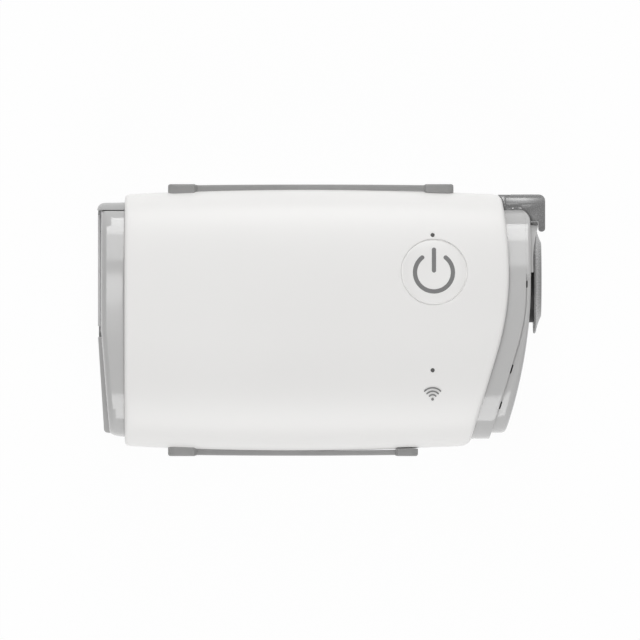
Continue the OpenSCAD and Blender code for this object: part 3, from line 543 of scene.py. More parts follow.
def grip_ring(x, x1, right_pad, sign):
    strip = smooth_step(x, GRIP_X0 + PAD_L, PAD_STEP) * (1 - smooth_step(x, x1 - right_pad, PAD_STEP))
    near = min(x - GRIP_X0, x1 - x, GRIP_END_R)
    tip = GRIP_TIP_R - min(near, GRIP_TIP_R)
    high = (PAD_H * (1 - strip) + STRIP_H * strip) / 2 - corner(GRIP_END_R - near, GRIP_END_R, GRIP_END_R)
    swell = 1 - (2 * (x - GRIP_X0) / (x1 - GRIP_X0) - 1) ** 2
    out = sleeve_w / 2 + GRIP_OUT - (0.4 - 0.3 * swell) * strip - corner(tip, GRIP_TIP_R, GRIP_TIP_R)
    corner_y, corner_z = ((out, high) - round_over(GRIP_EDGE_R, 5)).T
    z_in = linspace(-high, high, 9)
    n = where(z_in > 0, TOP_N, BASE_N)
    y_in = half_w(x) * (1 - (np.abs(z_in) / half_h(x)) ** n) ** (1 / n)
    y = concatenate([corner_y, corner_y[::-1], y_in])
    return ring(x, y * sign, concatenate([corner_z, -corner_z[::-1], z_in]) + mid_z)


for side, length, pad, sign in (("back", 86.9, 8.7, 1), ("front", 76.1, 6.7, -1)):
    x1 = GRIP_X0 + length
    ends = round_over(GRIP_END_R, 12)[:, 1]
    xs = concatenate([GRIP_X0 + ends, np.arange(GRIP_X0 + 3, x1 - 3, 0.5), x1 - ends[::-1]])
    shape = loft([grip_ring(x, x1, pad, sign) for x in xs])
    piece(f"grip_{side}_rubber", shape, "housing", "grip_rubber", f"side_grip_{side}", angle=45)

# %% [markdown]
# ## The feet
#
# Four soft discs stand in the wells. A plain disc would look like a coin, so each is a turned
# profile with a rounded rim, a shallow groove and a slightly raised middle.

# %% Turn the feet
foot_profile = [(0.05, 3.2), (FOOT_R, 3.2), (FOOT_R, 0.6), (4.85, 0.25), (4.5, 0.05), (4.2, 0),
                (3.9, 0), (3.8, 0.12), (3.55, 0.12), (3.45, 0), (0.05, 0)]
feet = several(*[turned(foot_profile, (*p, 0), "z", 72) for p in FEET])
piece("soft_feet", feet, "housing", "foot_rubber", "rubber_feet")

# %% [markdown]
# ## The filter end
#
# A dark frame shows as a strip along the back and as the panel round the power socket, and the
# light cover fills the rest and pulls off. Both share one outline, so we loft the end once as a
# block with a rounded tip and cut each piece out of it. Their surfaces then line up.

# %% Block of the filter end
inlet_w, inlet_y = 71.5, 0.15
cover_y1 = inlet_y + inlet_w / 2 - inlet_strip
panel_z = mid_z - end_h / 2 + 10.2
panel_y = -1.8
neck_x, cover_back = sleeve_x0 + 1.2, sleeve_x0 + 0.7
pad_x0 = x_left + inlet_lip + cover_wall
INLET_CORNER_R = 2.2

# Ways from the side to the tip, each as (distance from the tip, distance below the side)
BEVELLED = [(1.7, 0), (1.45, 0.22), (1.2, 0.48), (0.95, 0.8), (0.7, 1.2), (0.45, 1.75),
            (0.25, 2.4), (0.1, 3.2), (0, 4.3)]
ROUNDED = round_over(INLET_CORNER_R, 10)
LIPPED = [(0.8, 0), (0.5, 0.08), (0.25, 0.25), (0.08, 0.5), (0, 0.8)]


def inlet_tip(x, y, slope=0.079, start=-3.0):
    run_back = where(y < start, slope * (start - y), 0)
    return x + run_back + corner(np.minimum(y, 0), inlet_w / 2, INLET_CORNER_R)


def inlet_block(tip, base, inset, draft=0.0, edge=ROUNDED, sideways=1.0, **front):
    """A block with a tip facing -X that its edge leads to. It narrows towards its tip by the draft.
    The edge takes a share of its depth off the block's width."""
    a, b = inlet_w / 2 - inset, end_h / 2 - inset
    rings = []
    for k in (0, 0.25, 0.5, 0.75):
        y, z = oval(FULL_TURN, a - draft * k, b - draft * k, inlet_y)
        rings.append(ring(base + (inlet_tip(tip, y, **front) + edge[0][0] - base) * k, y, z))
    for ahead, below in edge:
        y1, z1 = oval(FULL_TURN, a - below * sideways - draft, b - below - draft, inlet_y)
        rings.append(ring(inlet_tip(tip, y1, **front) + ahead, y1, z1))
    for k in (0.97, 0.92, 0.85, 0.75, 0.6, 0.45, 0.3, 0.15, 0.04):
        y = inlet_y + (y1 - inlet_y) * k
        rings.append(ring(inlet_tip(tip, y, **front), y, mid_z + (z1 - mid_z) * k))
    return loft(rings)


def outside_cover(d):
    """The two corners that the cover leaves to the frame, grown by d."""
    return [block((x_left - 5, y - d, -5), (sleeve_x0 + 3, sleeve_w, z))
            for y, z in ((cover_y1, 70), (panel_y, panel_z + d))]


print("filter end: cover ends at y", round(cover_y1, 2), "and panel at z", round(panel_z, 2))

# %% [markdown]
# The cover is a thin cap. We cut the frame's two corners away, hollow it with the same block set in
# by the wall, and open a row of slots for the air. A bevel with a crisp crease runs round its tip,
# and low down in front a lip carries on the line of the frame's panel.

# %% Cut the filter cover
cover_tip, lip_y = x_left + inlet_lip + 0.6, panel_y - 3.4
cover_shape = inlet_block(cover_tip, cover_back, 0, 0.12, BEVELLED, sideways=0.25)
cover = mesh_object("filter_cover_shell", cover_shape)
carve(cover, *outside_cover(gap))
lip_shape = inlet_block(x_left, sleeve_x0 - 2.3, 0.4, 0.25, LIPPED, slope=0.064, start=-5.0)
lip = mesh_object("lip", lip_shape)
carve(lip, block((x_left - 1, -60, -5), (x_left + 5.5, lip_y, panel_z)), operation="INTERSECT")
carve(cover, lip, operation="UNION")
hollow = mesh_object("hollow", inlet_block(pad_x0, cover_back + 1, cover_wall))
carve(hollow, *outside_cover(gap + cover_wall))
slots = [block((x_left - 1, y, mid_z - 4), (pad_x0 + 1, y + 1.6, mid_z + 12))
         for y in range(-20, 25, 5)]
carve(cover, hollow, several(*slots))
soften(cover, 0.25, 2, 50)
place(cover, "cover", "light_grey", "filter_cover")

# %% [markdown]
# A dark rubber strip under the cover is a painted shadow: it draws the fine dark line of shade along
# its edge, and a dark catch fills the space between the lip and the panel. Both ride with the cover.

# %% Trim the cover
edge_y = linspace(-34.6, cover_y1 - gap, 90)
edge_line = inlet_tip(cover_tip, edge_y)
outer_side, inner_side = zip(edge_line - 0.3, edge_y), zip(edge_line + 0.5, edge_y)
# The dark strip along the cover's edge stands in for the shade in the gap: a painted shadow.
shadow_strip_shape = prism([*outer_side, *list(inner_side)[::-1]], panel_z + 0.03, panel_z + 0.8)
shadow_strip = piece("cover_shadow_strip", shadow_strip_shape, "cover", "light_grey")
catch_shape = block((x_left + 0.25, lip_y + 0.05, panel_z - 9),
                    (x_left + 1.5, panel_y - 0.08, panel_z - 0.4))
piece("cover_catch", catch_shape, "cover", "dark_grey", edge=0.1)

# %% [markdown]
# The frame is the same block with the cover's space taken out, a flange that plugs into the sleeve,
# and a spigot that the cover slides over. Its grille only shows when the cover is off. A pale strip
# along the edge of its panel is a painted highlight on the rim.

# %% Cut the inlet frame
SOCKET, SOCKET_R = (17.0, panel_z - 4.9), 3.4
frame_block = mesh_object("inlet_frame_shell", inlet_block(x_left, neck_x + 0.5, 0, 0.15))
carve(frame_block, block((x_left - 5, -60, panel_z), (neck_x + 5, cover_y1, 70)),
      block((x_left - 5, -60, -5), (neck_x + 5, panel_y, panel_z + 0.01)))
soften(frame_block, 0.3, 3, 50)
spigot = mesh_object("spigot", inlet_block(pad_x0 + gap, neck_x + 0.5, cover_wall + gap))
carve(spigot, *outside_cover(cover_wall + 2 * gap))
flange = loft([ring(x, *section(sleeve_x0, wall + seat)) for x in (neck_x, neck_x + 3)])
carve(spigot, flange, operation="UNION")
pad_y, pad_z = (-26, 26), (panel_z + 4.2, mid_z + 12)
grille_x = float(inlet_tip(pad_x0, array(pad_y[0]))) + 4.0
pad_space = block((x_left - 1, pad_y[0], pad_z[0]), (grille_x, pad_y[1], pad_z[1]))
openings = [block((grille_x - 1, y, pad_z[0] + 2), (neck_x + 5, y + 2.6, pad_z[1] - 2))
            for y in range(pad_y[0] + 3, pad_y[1] + 3, 5)]
socket_hole = rod(SOCKET_R, (x_left - 1, *SOCKET), 11, "x", 64)
carve(spigot, pad_space, several(*openings), socket_hole)
carve(frame_block, socket_hole)
place(spigot, "housing", "dark_grey", "inlet_frame")
place(frame_block, "housing", "dark_grey")
# A pale strip on the panel's rim, paler than the frame itself: a painted highlight.
highlight_strip_shape = block((x_left + 0.08, panel_y + 0.1, panel_z - 0.3),
                   (x_left + 0.8, cover_y1 - 1.3, panel_z + 0.22))
highlight_strip = piece("panel_highlight_strip", highlight_strip_shape, "housing", "light_grey", edge=0.1)

# %% [markdown]
# ## The outlet end
#
# Next to the sleeve sits a light-grey band, and outside its seam a cap with a generous rounding.
# The band is a closed row of rings: out of the sleeve, along the neck, over the seam's edge and
# back along the inside.

# %% Loft the outlet frame
FLANGE_BACK, FRAME_FRONT, END_WALL, RIM_BACK, RIM_IN = 5.0, 1.2, 2.0, 0.25, 0.18
HOOK_H, HOOK_T = 13.0, 4.1
pin_x = crown_x + 1.2
hook_y0 = end_y + end_w / 2 + gap
hook_y1 = hook_y0 + HOOK_T
hook_x1 = -x_left
hook_z = (mid_z - HOOK_H / 2, mid_z + HOOK_H / 2)


def end_ring(a_in, b_in, x_of, centre=end_y):
    y, z = oval(FULL_TURN, end_w / 2 - a_in, end_h / 2 - b_in, centre)
    return ring(x_of(y), y, z)


def flange_ring(back):
    y, z = section(crown_x, wall + seat)
    return ring(sleeve_end(y) - back, y, z)


def past_seam(d):
    return lambda y: seam_x(y) + d


def neck_ring(k):
    return end_ring(0, 0, lambda y: (sleeve_end(y) - FRAME_FRONT) * (1 - k) + (seam_x(y) - RIM_BACK) * k)


def flush_behind(stepped, level):
    """Blends two rings: the stepped one in front of the outlet's middle, the level one behind it."""
    k = smooth_step(level[:, 1], outlet_y + 0.8, 2.2)[:, None]
    return stepped * (1 - k) + level * k


def rim_ring(f):
    inset, back = RIM_IN * (1 - cos(f)), RIM_BACK * (1 - sin(f))
    return flush_behind(*(end_ring(d, d, past_seam(-back)) for d in (inset, 0)))


band = [flange_ring(FLANGE_BACK), flange_ring(FRAME_FRONT)]
band += [neck_ring(k) for k in linspace(0, 1, 8)]
band += [rim_ring(f) for f in radians((30, 60, 90))]
band += [end_ring(END_WALL, END_WALL, seam_x),
         end_ring(END_WALL, END_WALL, lambda y: sleeve_end(y) - FLANGE_BACK)]
hook_space = block((pin_x - 2.9, hook_y0 - 1.1, hook_z[0] - seat), (pin_x + 0.45, 50, hook_z[1] + seat))
piece("outlet_band", loft(band, closed=True), "housing", "light_grey", "outlet_frame", cuts=[hook_space])

# %% [markdown]
# The cap rounds over in a squarish arc from the seam to its face, which follows the long curve that
# we drew from above. In front it stands a step lower than the band, and behind the outlet's middle
# the two run on as one, so each ring blends a stepped one and a level one.

# %% Loft the end cap
CAP_STEP, CAP_IN_Z, CAP_ROUND_Z, CAP_ROUND_Y = 1.8, 1.6, 5.0, 1.6
SEAM_GAP, CAP_TUCK, CAP_START, SQUARISH = 0.03, 0.12, 0.4, 0.42
cap_y = end_y + CAP_STEP / 2
ARC_STEPS = radians([0, 1, 4, 9, 17, 27, 38, 50, 61, 71, 79, 84.5, 88, 89.5, 89.95])
FACE_STEPS = (0.97, 0.92, 0.85, 0.75, 0.65, 0.55, 0.45, 0.3, 0.1, 0.02)


def cap_section(in_y, in_z, x_of):
    stepped = end_ring(CAP_STEP / 2 + in_y, CAP_IN_Z + in_z, x_of, cap_y)
    return flush_behind(stepped, end_ring(in_y, in_z, x_of))


def cap_ring(f):
    """The cap's edge is flat near the seam, and round only where it meets the face."""
    fall, ahead, start = 1 - cos(f) ** SQUARISH, sin(f) ** SQUARISH, past_seam(CAP_START)
    return cap_section(CAP_ROUND_Y * fall, CAP_ROUND_Z * fall,
                       lambda y: start(y) + (cap_x(y) - start(y)) * ahead)


def cap_face(k, inset=0.0):
    rim = cap_section(CAP_ROUND_Y + inset, CAP_ROUND_Z + inset, cap_x)
    y, z = outlet_y + (rim[:, 1] - outlet_y) * k, mid_z + (rim[:, 2] - mid_z) * k
    return ring(cap_x(y) - inset, y, z)


seam_side = past_seam(SEAM_GAP)
tucked = end_ring(CAP_STEP / 2 + CAP_TUCK, CAP_IN_Z + CAP_TUCK, seam_side, cap_y)
cap_rings = [cap_face(k, END_WALL) for k in (0.05, 0.3, 0.6, 0.9)]
cap_rings.append(cap_section(END_WALL, END_WALL, seam_side))
cap_rings.append(flush_behind(tucked, end_ring(0, 0, past_seam(0.02))))
cap_rings += [cap_ring(f) for f in ARC_STEPS] + [cap_face(k) for k in FACE_STEPS]
print("rings in the cap:", len(cap_rings))

# %% [markdown]
# A round hole takes the black seal, and four short vents sit in the seam, turned along it. The
# seam's direction comes from two close places on its curve.

# %% Open the end cap
VENTS = [(10.9, 2.1), (-14.8, 2.7), (-25.8, 2.3), (-33.2, 1.1)]  # place along y and length
port_r = outlet_r + 1.6
seal_r = port_r + 1.9
cap_holes = [rod(seal_r + seat, (crown_x - 20, outlet_y, mid_z), 40, "x", 144)]
for y, length in VENTS:
    lean = -math.atan(float(seam_x(y + 0.1) - seam_x(y - 0.1)) / 0.2)
    ahead = array([-sin(lean), cos(lean)]) * length / 2
    side = array([cos(lean), sin(lean)])
    at = array([float(seam_side(y)), y])
    vent = [at + ahead * u + side * v for u, v in ((-1, -0.3), (-1, 0.42), (1, 0.42), (1, -0.3))]
    cap_holes.append(prism(vent, mid_z + end_h / 4, mid_z + end_h / 2 + 1))
piece("outlet_end_cap", loft(cap_rings), "housing", "light_grey", "outlet_cap", cuts=cap_holes)

# %% [markdown]
# ## The air outlet
#
# Everything round the outlet is turned on a lathe, first the domed collar that the hose connector
# grips and the black seal behind it. Each has a profile of radius and distance, with the small
# roundings that catch the light.

# %% Turn the collar and the seal
def collar_back(r):
    return r * r / 1100


def collar_face(r):
    """How far the face stands in front of the flange's plane: a flat cone that swells inwards."""
    return 0.38 + 0.25 * (collar_r - r) + 0.04 * np.maximum(14.5 - r, 0) ** 2


COLLAR_RIM = 0.3
outlet_at = (crown_x + cap_l + 1.15, outlet_y, mid_z)
radii = linspace(port_r + 0.02, collar_r - 0.25, 14)
rim_front, rim_back = collar_face(collar_r), -collar_back(collar_r)
rim_mid, rim_half = (rim_front + rim_back) / 2, (rim_front - rim_back) / 2
collar_profile = [(r, -collar_back(r)) for r in radii]
collar_profile += [(collar_r - COLLAR_RIM * (1 - cos(f)), rim_mid - rim_half * sin(f))
                   for f in radians(linspace(80, -80, 7))]
collar_profile += [(r, collar_face(r)) for r in radii[::-1]]
collar_shape = turned(collar_profile, outlet_at, "x", 160)
piece("outlet_collar_disc", collar_shape, "housing", "dark_grey", "outlet_collar")

seal_in = port_r + seat
seal_profile = [(seal_in, -3), (seal_r, -3), (seal_r, -0.1 - collar_back(seal_r)),
                (seal_in, -0.1 - collar_back(port_r))]
seal_shape = turned(seal_profile, outlet_at, "x", 144)
piece("outlet_seal_ring", seal_shape, "housing", "seal_rubber", "outlet_seal")

# %% [markdown]
# The half ring is a full ring with its front half cut off. Under the hook its outer lip reaches
# further forward, so we move those points, and a small ledge fills the corner.

# %% Turn the half ring
ring_r, ring_in, LIP_REACH = collar_r + 0.95, seal_r + seat, 1.5
collar_x = outlet_at[0]
ring_profile = [(r, -0.15 - collar_back(r)) for r in linspace(ring_in, ring_r - 0.3, 8)]
ring_profile += [(ring_r - 0.08, -0.2 - collar_back(ring_r)),
                 (ring_r, -0.35 - collar_back(ring_r)), (ring_r, -3.2), (ring_in, -3.2)]
half_ring = mesh_object("outlet_half_ring", turned(ring_profile, outlet_at, "x", 160))
carve(half_ring, block((crown_x, outlet_y + 2.1, -5), (crown_x + 20, 60, 70)), operation="INTERSECT")
for vertex in half_ring.data.vertices:
    x, y, z = vertex.co / MM
    behind = min(max((y - outlet_y - 6) / 10, 0), 1)
    if math.hypot(y - outlet_y, z - mid_z) > collar_r + 0.4 and x > collar_x - 2:
        vertex.co.x += LIP_REACH * MM * behind * behind
place(half_ring, "housing", "light_grey")
ledge_shape = block((collar_x - 0.9, outlet_y + collar_r + 0.05, mid_z + 1),
                    (collar_x + 1.2, outlet_y + collar_r + 0.95, mid_z + 5.2))
piece("outlet_ledge", ledge_shape, "housing", "light_grey", edge=0.2)

# %% [markdown]
# ## The hook
#
# One dark moulding swings on a pin beside the end cap and closes over the collar's rim. We draw it
# from above, pull the outline up and soften its edges. Its back is a quarter round, cut with a tool
# that the bracket shares.

# %% Shape the hook
def about_pin(r, low, high, steps=48):
    return rod(r, (pin_x, pin_y, low), high - low, "z", steps)


KNUCKLE_R, PIN_R, CROWN_R, HOOK_BACK_R = 1.95, 0.9, 3.3, 2.0
pin_y = (hook_y0 + hook_y1) / 2
knuckle_low, knuckle_up = hook_z[0] + HOOK_H * 0.21, hook_z[1] - HOOK_H * 0.24
leg_y, tip_y, tip_r = outlet_y + collar_r + 1.1, outlet_y + collar_r - 1.0, 0.95
cap_corner_at = (float(edge_x(CAP_EDGE, hook_y0)) - CAP_CORNER_R, hook_y0 - gap - CAP_CORNER_R)
hook_outline = [
    *arc(cap_corner_at, CAP_CORNER_R + gap + seat, 70, 2, 14), (hook_x1 - 4.1, leg_y),
    (hook_x1 - 2 * tip_r, leg_y), *arc((hook_x1 - tip_r, tip_y), tip_r, 180, 360, 11),
    *arc((hook_x1 - HOOK_BACK_R, hook_y1 - HOOK_BACK_R), HOOK_BACK_R, 0, 90, 10),
    (pin_x + KNUCKLE_R + gap + 0.6, hook_y1)]
hook = mesh_object("outlet_hook", prism(hook_outline, *hook_z))
crown = (hook_y1, hook_z[1]) - round_over(CROWN_R, 15, 87)
beyond = (hook_y1 + 2, hook_z[1] + 2)
crown_y, crown_z = array([*crown, (beyond[0], crown[-1][1]), beyond, (crown[0][0], beyond[1])]).T
crown_cut = loft([ring(x, crown_y, crown_z) for x in (pin_x - 8, hook_x1 + 2)])
knuckles = [(hook_z[0], knuckle_low - gap, KNUCKLE_R), (knuckle_up, hook_z[1], KNUCKLE_R + 0.09)]
for low, high, r in knuckles:
    arm = block((pin_x, pin_y - r + 0.01, low + 0.01),
                (pin_x + KNUCKLE_R + 1.5, pin_y + r - 0.01, high - 0.01))
    carve(hook, about_pin(r, low, high, 64), arm, operation="UNION")
carve(hook, about_pin(PIN_R + 0.04, hook_z[0] - 1, hook_z[1] - 1), crown_cut)
soften(hook, 0.15, 3, 40)
place(hook, "hook", "dark_grey", "outlet_latch")

# %% [markdown]
# The bracket carries the pin between the hook's knuckles. Its back follows the sleeve's end, and
# round spaces let the knuckles turn. A small filler rests on the cap's corner.

# %% Shape the bracket
lug_up, bracket_y = knuckle_low + 3.6, hook_y0 - 1.1
lug_y = hook_y0 - gap + seat
back_ys = linspace(hook_y1 - 0.1, pin_y, 5)
bracket_outline = [(pin_x - 2.85, bracket_y), (pin_x + 0.4, bracket_y), (pin_x + 0.4, lug_y),
                   (pin_x, lug_y), (pin_x, hook_y1 - 0.1)]
bracket_outline += [(float(sleeve_end(y)) + 0.12, y) for y in back_ys] + [(pin_x - 2.85, pin_y)]
bracket = mesh_object("hook_bracket", prism(bracket_outline, *hook_z))
carve(bracket, about_pin(KNUCKLE_R, knuckle_low, lug_up), operation="UNION")
for low, high, r in ((hook_z[0] - 1, knuckle_low + gap / 2, gap), (lug_up, hook_z[1] + 1, 0.15)):
    carve(bracket, about_pin(KNUCKLE_R + r, low, high, 64))
carve(bracket, about_pin(PIN_R + seat / 2, hook_z[0] - 1, hook_z[1] + 1), crown_cut)
soften(bracket, 0.12, 2, 50)
place(bracket, "housing", "dark_grey", "latch_bracket")
rest_outline = [*arc(cap_corner_at, CAP_CORNER_R + gap - 0.02, 88, 0, 16), cap_corner_at,
                (pin_x + 0.5, hook_y0 - 0.9), (pin_x + 0.5, hook_y0 - 0.03)]
piece("hook_rest", prism(rest_outline, mid_z - 4, mid_z + 6.3), "housing", "dark_grey")

# %% [markdown]
# ## Materials: writing shader maths as Python
#
# Nodes can be joined by hand, one link at a time, but for two dozen finishes that gets long. We
# wrap a socket in a small class whose operators add the Math nodes: 1 - mask is then a node too.

# %% Socket arithmetic
class Value:
    """One output socket. Arithmetic on it adds Math nodes to its finish."""

    def __init__(self, finish, socket):
        self.finish, self.socket = finish, socket

    def math(self, operation, *values):
        return self.finish.node("Math", {"operation": operation}, dict(enumerate(values)))

    def __add__(self, other):
        return self.math("ADD", self, other)

    def __sub__(self, other):
        return self.math("SUBTRACT", self, other)

    def __mul__(self, other):
        return self.math("MULTIPLY", self, other)

    def __rsub__(self, other):
        return self.math("SUBTRACT", other, self)

    __radd__, __rmul__ = __add__, __mul__

    def ramp(self, low, high):
        """0 below low, 1 above high."""
        inputs = {"Value": self, "From Min": low, "From Max": high}
        return self.finish.node("MapRange", {"interpolation_type": "SMOOTHSTEP"}, inputs)


print("socket arithmetic ready")

# %% [markdown]
# Any other node comes from one method that makes its settings first and its sockets second. Colours
# are blended with Mix, never with Math, which would turn them grey. All patterns are sized in
# millimetres.

# %% A node maker
class Finish:
    """A material, or a world, with its shader and whatever feeds it."""

    def __init__(self, name, world=None):
        self.owner = world or bpy.data.materials.new(name)
        self.owner.use_nodes = True
        self.tree = self.owner.node_tree
        self.tree.nodes.clear()

    def node(self, kind, settings=None, inputs=None, out=0):
        made = self.tree.nodes.new("ShaderNode" + kind)
        for key, value in (settings or {}).items():
            setattr(made, key, value)
        for key, value in (inputs or {}).items():
            if isinstance(value, Value):
                self.tree.links.new(value.socket, made.inputs[key])
            else:
                made.inputs[key].default_value = value
        return Value(self, made.outputs[out] if made.outputs else None)

    def blend(self, first, second, factor):
        return self.node("Mix", {"data_type": "RGBA"}, {0: factor, 6: first, 7: second}, 2)

    def here(self):
        return self.node("TexCoord", out="Object")

    def noise(self, size, detail=2.0, stretch=None):
        """Cloudy pattern whose blobs are about size millimetres across."""
        at = self.here()
        if stretch:
            at = self.node("VectorMath", {"operation": "MULTIPLY"}, {0: at, 1: stretch})
        inputs = {"Vector": at, "Scale": 1 / (size * MM), "Detail": detail}
        return self.node("TexNoise", {}, inputs)

    def cells(self, size, feature):
        """Pattern of cells about size millimetres across."""
        inputs = {"Vector": self.here(), "Scale": 1 / (size * MM)}
        return self.node("TexVoronoi", {"feature": feature}, inputs)

    def bump(self, height, depth):
        """Relief of a depth in millimetres."""
        return self.node("Bump", {}, {"Height": height, "Strength": 1.0, "Distance": depth * MM})

    def edges(self, radius):
        """1 near sharp edges and 0 on open surfaces."""
        rounded = self.node("Bevel", {"samples": 4}, {"Radius": radius * MM})
        plain = self.node("NewGeometry", out="Normal")
        same = self.node("VectorMath", {"operation": "DOT_PRODUCT"}, {0: rounded, 1: plain}, "Value")
        return (1 - same).ramp(0.01, 0.2)

    def surface(self, **inputs):
        named = {key.replace("_", " "): value for key, value in inputs.items()}
        return self.close(self.node("BsdfPrincipled", {}, named))

    def close(self, shader, end="OutputMaterial"):
        self.node(end, {}, {"Surface": shader})
        return self.owner


def grey(level, warmth=0.0):
    """Linear colour of a screen grey from 0 to 255, a little warmer or cooler."""
    linear = (level / 255) ** 2.2
    return (linear * (1 + warmth), linear, linear * (1 - 1.6 * warmth), 1.0)


def tint(colour, factor, lift=0.0):
    """A colour made darker or paler."""
    return tuple(min(c * factor + lift, 1) for c in colour[:3]) + (1.0,)


print("screen grey 128 is", round(grey(128)[0], 3), "as a linear colour")

# %% [markdown]
# ## Moulded plastic
#
# Plastic is never quite even: the tone drifts over a few centimetres, the tool leaves a spark grain
# on satin parts or a faint ripple on glossy ones, and touched edges are a shade lighter. One
# function makes all the hard covers from these habits.

# %% Plastic finishes
def plastic(name, colour, roughness, grain=0.35, depth=0.004, drift=0.03, gloss=0.5, worn=0.06):
    f = Finish(name)
    cloud, fine = f.noise(38), f.noise(grain)
    tone = f.blend(tint(colour, 1 - drift), colour, cloud.ramp(0.3, 0.7))
    tone = f.blend(tone, tint(colour, 1 + worn, 0.01 * (worn > 0)), f.edges(0.35) * 0.8)
    rough = roughness + (cloud - 0.5) * (0.12 * roughness) + (fine - 0.5) * (0.3 * roughness)
    return f.surface(Base_Color=tone, Roughness=rough, Specular_IOR_Level=gloss,
                     Normal=f.bump(fine, depth))


# Colour, roughness, grain and its depth in millimetres, drift, gloss and wear
PLASTICS = {
    "white_shell": (grey(238, 0.008), 0.42, 0.3, 0.0025, 0.012),
    "button_white": (grey(238, 0.008), 0.38, 0.3, 0.002, 0.012),
    "light_grey": (grey(189, 0.004), 0.13, 3.5, 0.006, 0.02, 0.5, 0.0),
    "dark_grey": (grey(107), 0.27, 0.4, 0.004, 0.04, 1.0),
    "black_plastic": (grey(40), 0.4, 0.4, 0.006, 0.05),
    "led_plastic": (grey(225, 0.05), 0.3, 0.3, 0.002),
    "duct_plastic": (grey(205, -0.01), 0.25, 2.0),
    "housing_grey": (grey(140), 0.45, 0.4, 0.006),
    "sign_ink": (grey(118), 0.5, 0.12, 0.001, 0.04, 0.5, 0.0),
    "frame_grey": (grey(168), 0.3, 0.4, 0.004, 0.03, 0.5, 0.03),
    # The next grey is paler than the frame and colours its rim strip, a painted highlight.
    "bead_grey": (grey(222), 0.3, 0.4, 0.002, 0.02, 0.5, 0.0),
}
finishes = {name: plastic(name, *row) for name, row in PLASTICS.items()}
print("plastics:", len(finishes))

# %% [markdown]
# ## Rubber, felt and foam
#
# Rubber scatters light widely and shows a fine stipple from its mould, and the grips pick up a
# little dust. Felt is a mat of fibres, and foam is a web of open cells. Each gets a pattern of its
# own size, because a rubber with a felt's grain looks like felt.

# %% Soft finishes
def rubber(name, colour, roughness=0.62, stipple=0.55, depth=0.02, dust=0.08):
    f = Finish(name)
    dots, cloud, fine = f.cells(stipple, "SMOOTH_F1"), f.noise(9, 4), f.noise(0.25)
    dusty = tint(colour, 1 + dust, 0.006)
    tone = f.blend(colour, dusty, cloud.ramp(0.35, 0.75))
    tone = f.blend(tone, dusty, f.edges(0.5) * 0.6)
    return f.surface(Base_Color=tone, Roughness=roughness + (cloud - 0.5) * 0.14,
                     Normal=f.bump(dots * 0.7 + fine * 0.3, depth), Specular_IOR_Level=0.4)


def fibrous(name, colour, size, depth):
    f = Finish(name)
    web, threads = f.cells(size, "DISTANCE_TO_EDGE"), f.noise(size * 0.4, 5, (1.0, 0.35, 1.0))
    # The low parts of the relief are also painted darker: painted shade in the hollows between cells and
    # fibres.
    tone = f.blend(tint(colour, 0.6), colour, (web * 2.0 + threads * 0.6).ramp(0.1, 0.8))
    return f.surface(Base_Color=tone, Roughness=0.9, Normal=f.bump(web + threads * 0.5, depth),
                     Sheen_Weight=0.25)


# Colour, roughness, size of the stipple and its depth in millimetres
RUBBERS = {
    "grip_rubber": (grey(150, 0.004),),
    "foot_rubber": (grey(92), 0.7),
    "seal_rubber": (grey(26), 0.5, 0.4, 0.01),
    "clear_rubber": (grey(215), 0.3, 0.6, 0.004),
    # The next rubber colours the strip under the cover's edge, a painted shadow.
    "gasket_rubber": (grey(160),),
}
finishes |= {name: rubber(name, *row) for name, row in RUBBERS.items()}
finishes["filter_felt"] = fibrous("filter_felt", grey(240, 0.01), 0.6, 0.08)
finishes["foam"] = fibrous("foam", grey(72), 1.4, 0.25)
print("finishes so far:", len(finishes))

# %% [markdown]
# ## Metals, lenses and the board
#
# Metals get their look from scratches finer than a pixel, all running one way. The lenses are
# smoked plastic, nearly black until the lamp behind them lights, and the board's green mask shows
# its tracks as slightly lighter lines.

# %% Hard inner finishes
def metal(name, colour, roughness=0.3, stretch=12.0):
    f = Finish(name)
    lines, cloud = f.noise(0.8, 3, (1.0, 1.0, stretch)), f.noise(12)
    tone = f.blend(tint(colour, 0.86), colour, cloud.ramp(0.3, 0.7))
    return f.surface(Base_Color=tone, Metallic=1.0, Roughness=roughness + (lines - 0.5) * 0.18,
                     Normal=f.bump(lines, 0.004))


def smoked_lens():
    f = Finish("smoked_lens")
    cloud = f.noise(0.6)
    return f.surface(Base_Color=f.blend(grey(62, 0.02), grey(84, 0.02), cloud),
                     Roughness=0.12 + cloud * 0.05, Coat_Weight=0.6, Coat_Roughness=0.05)


def board_mask():
    f = Finish("green_board_mask")
    tracks = f.node("TexBrick", {"offset": 0.3}, {
        "Vector": f.here(), "Scale": 400.0, "Mortar Size": 0.03, "Mortar": (0.03, 0.16, 0.07, 1),
        "Color1": (0.010, 0.080, 0.032, 1), "Color2": (0.012, 0.095, 0.040, 1)})
    cloud = f.noise(20, 3)
    tone = f.blend(tracks, (0.008, 0.06, 0.026, 1), cloud.ramp(0.4, 0.8) * 0.5)
    return f.surface(Base_Color=tone, Roughness=0.28 + cloud * 0.1, Normal=f.bump(f.noise(2), 0.01))


# Colour, roughness and how much finer the scratches are across than along
METALS = {
    "steel": (grey(190), 0.28),
    "contact_brass": ((0.72, 0.55, 0.25, 1), 0.22),
    "magnet": (grey(95), 0.4),
    "lamination": (grey(120), 0.42, 30.0),
    "copper": ((0.72, 0.32, 0.14, 1), 0.3, 25.0),
    "can_aluminium": (grey(200), 0.34),
}
finishes |= {name: metal(name, *row) for name, row in METALS.items()}
finishes |= {"lens": smoked_lens(), "board_green": board_mask()}
print("all finishes:", len(finishes))

# %% [markdown]
# ## Dressing the pieces
#
# Our pieces take the finish of their slot, apart from a few with one of their own. Every CAD node,
# shown or hidden, gets the finish that the record names for it, so that nothing is left plain.

# %% Give each piece its finish
def dress(obj, finish):
    if not obj.material_slots:
        obj.data.materials.append(finish)
    for part in obj.material_slots:
        part.material = finish


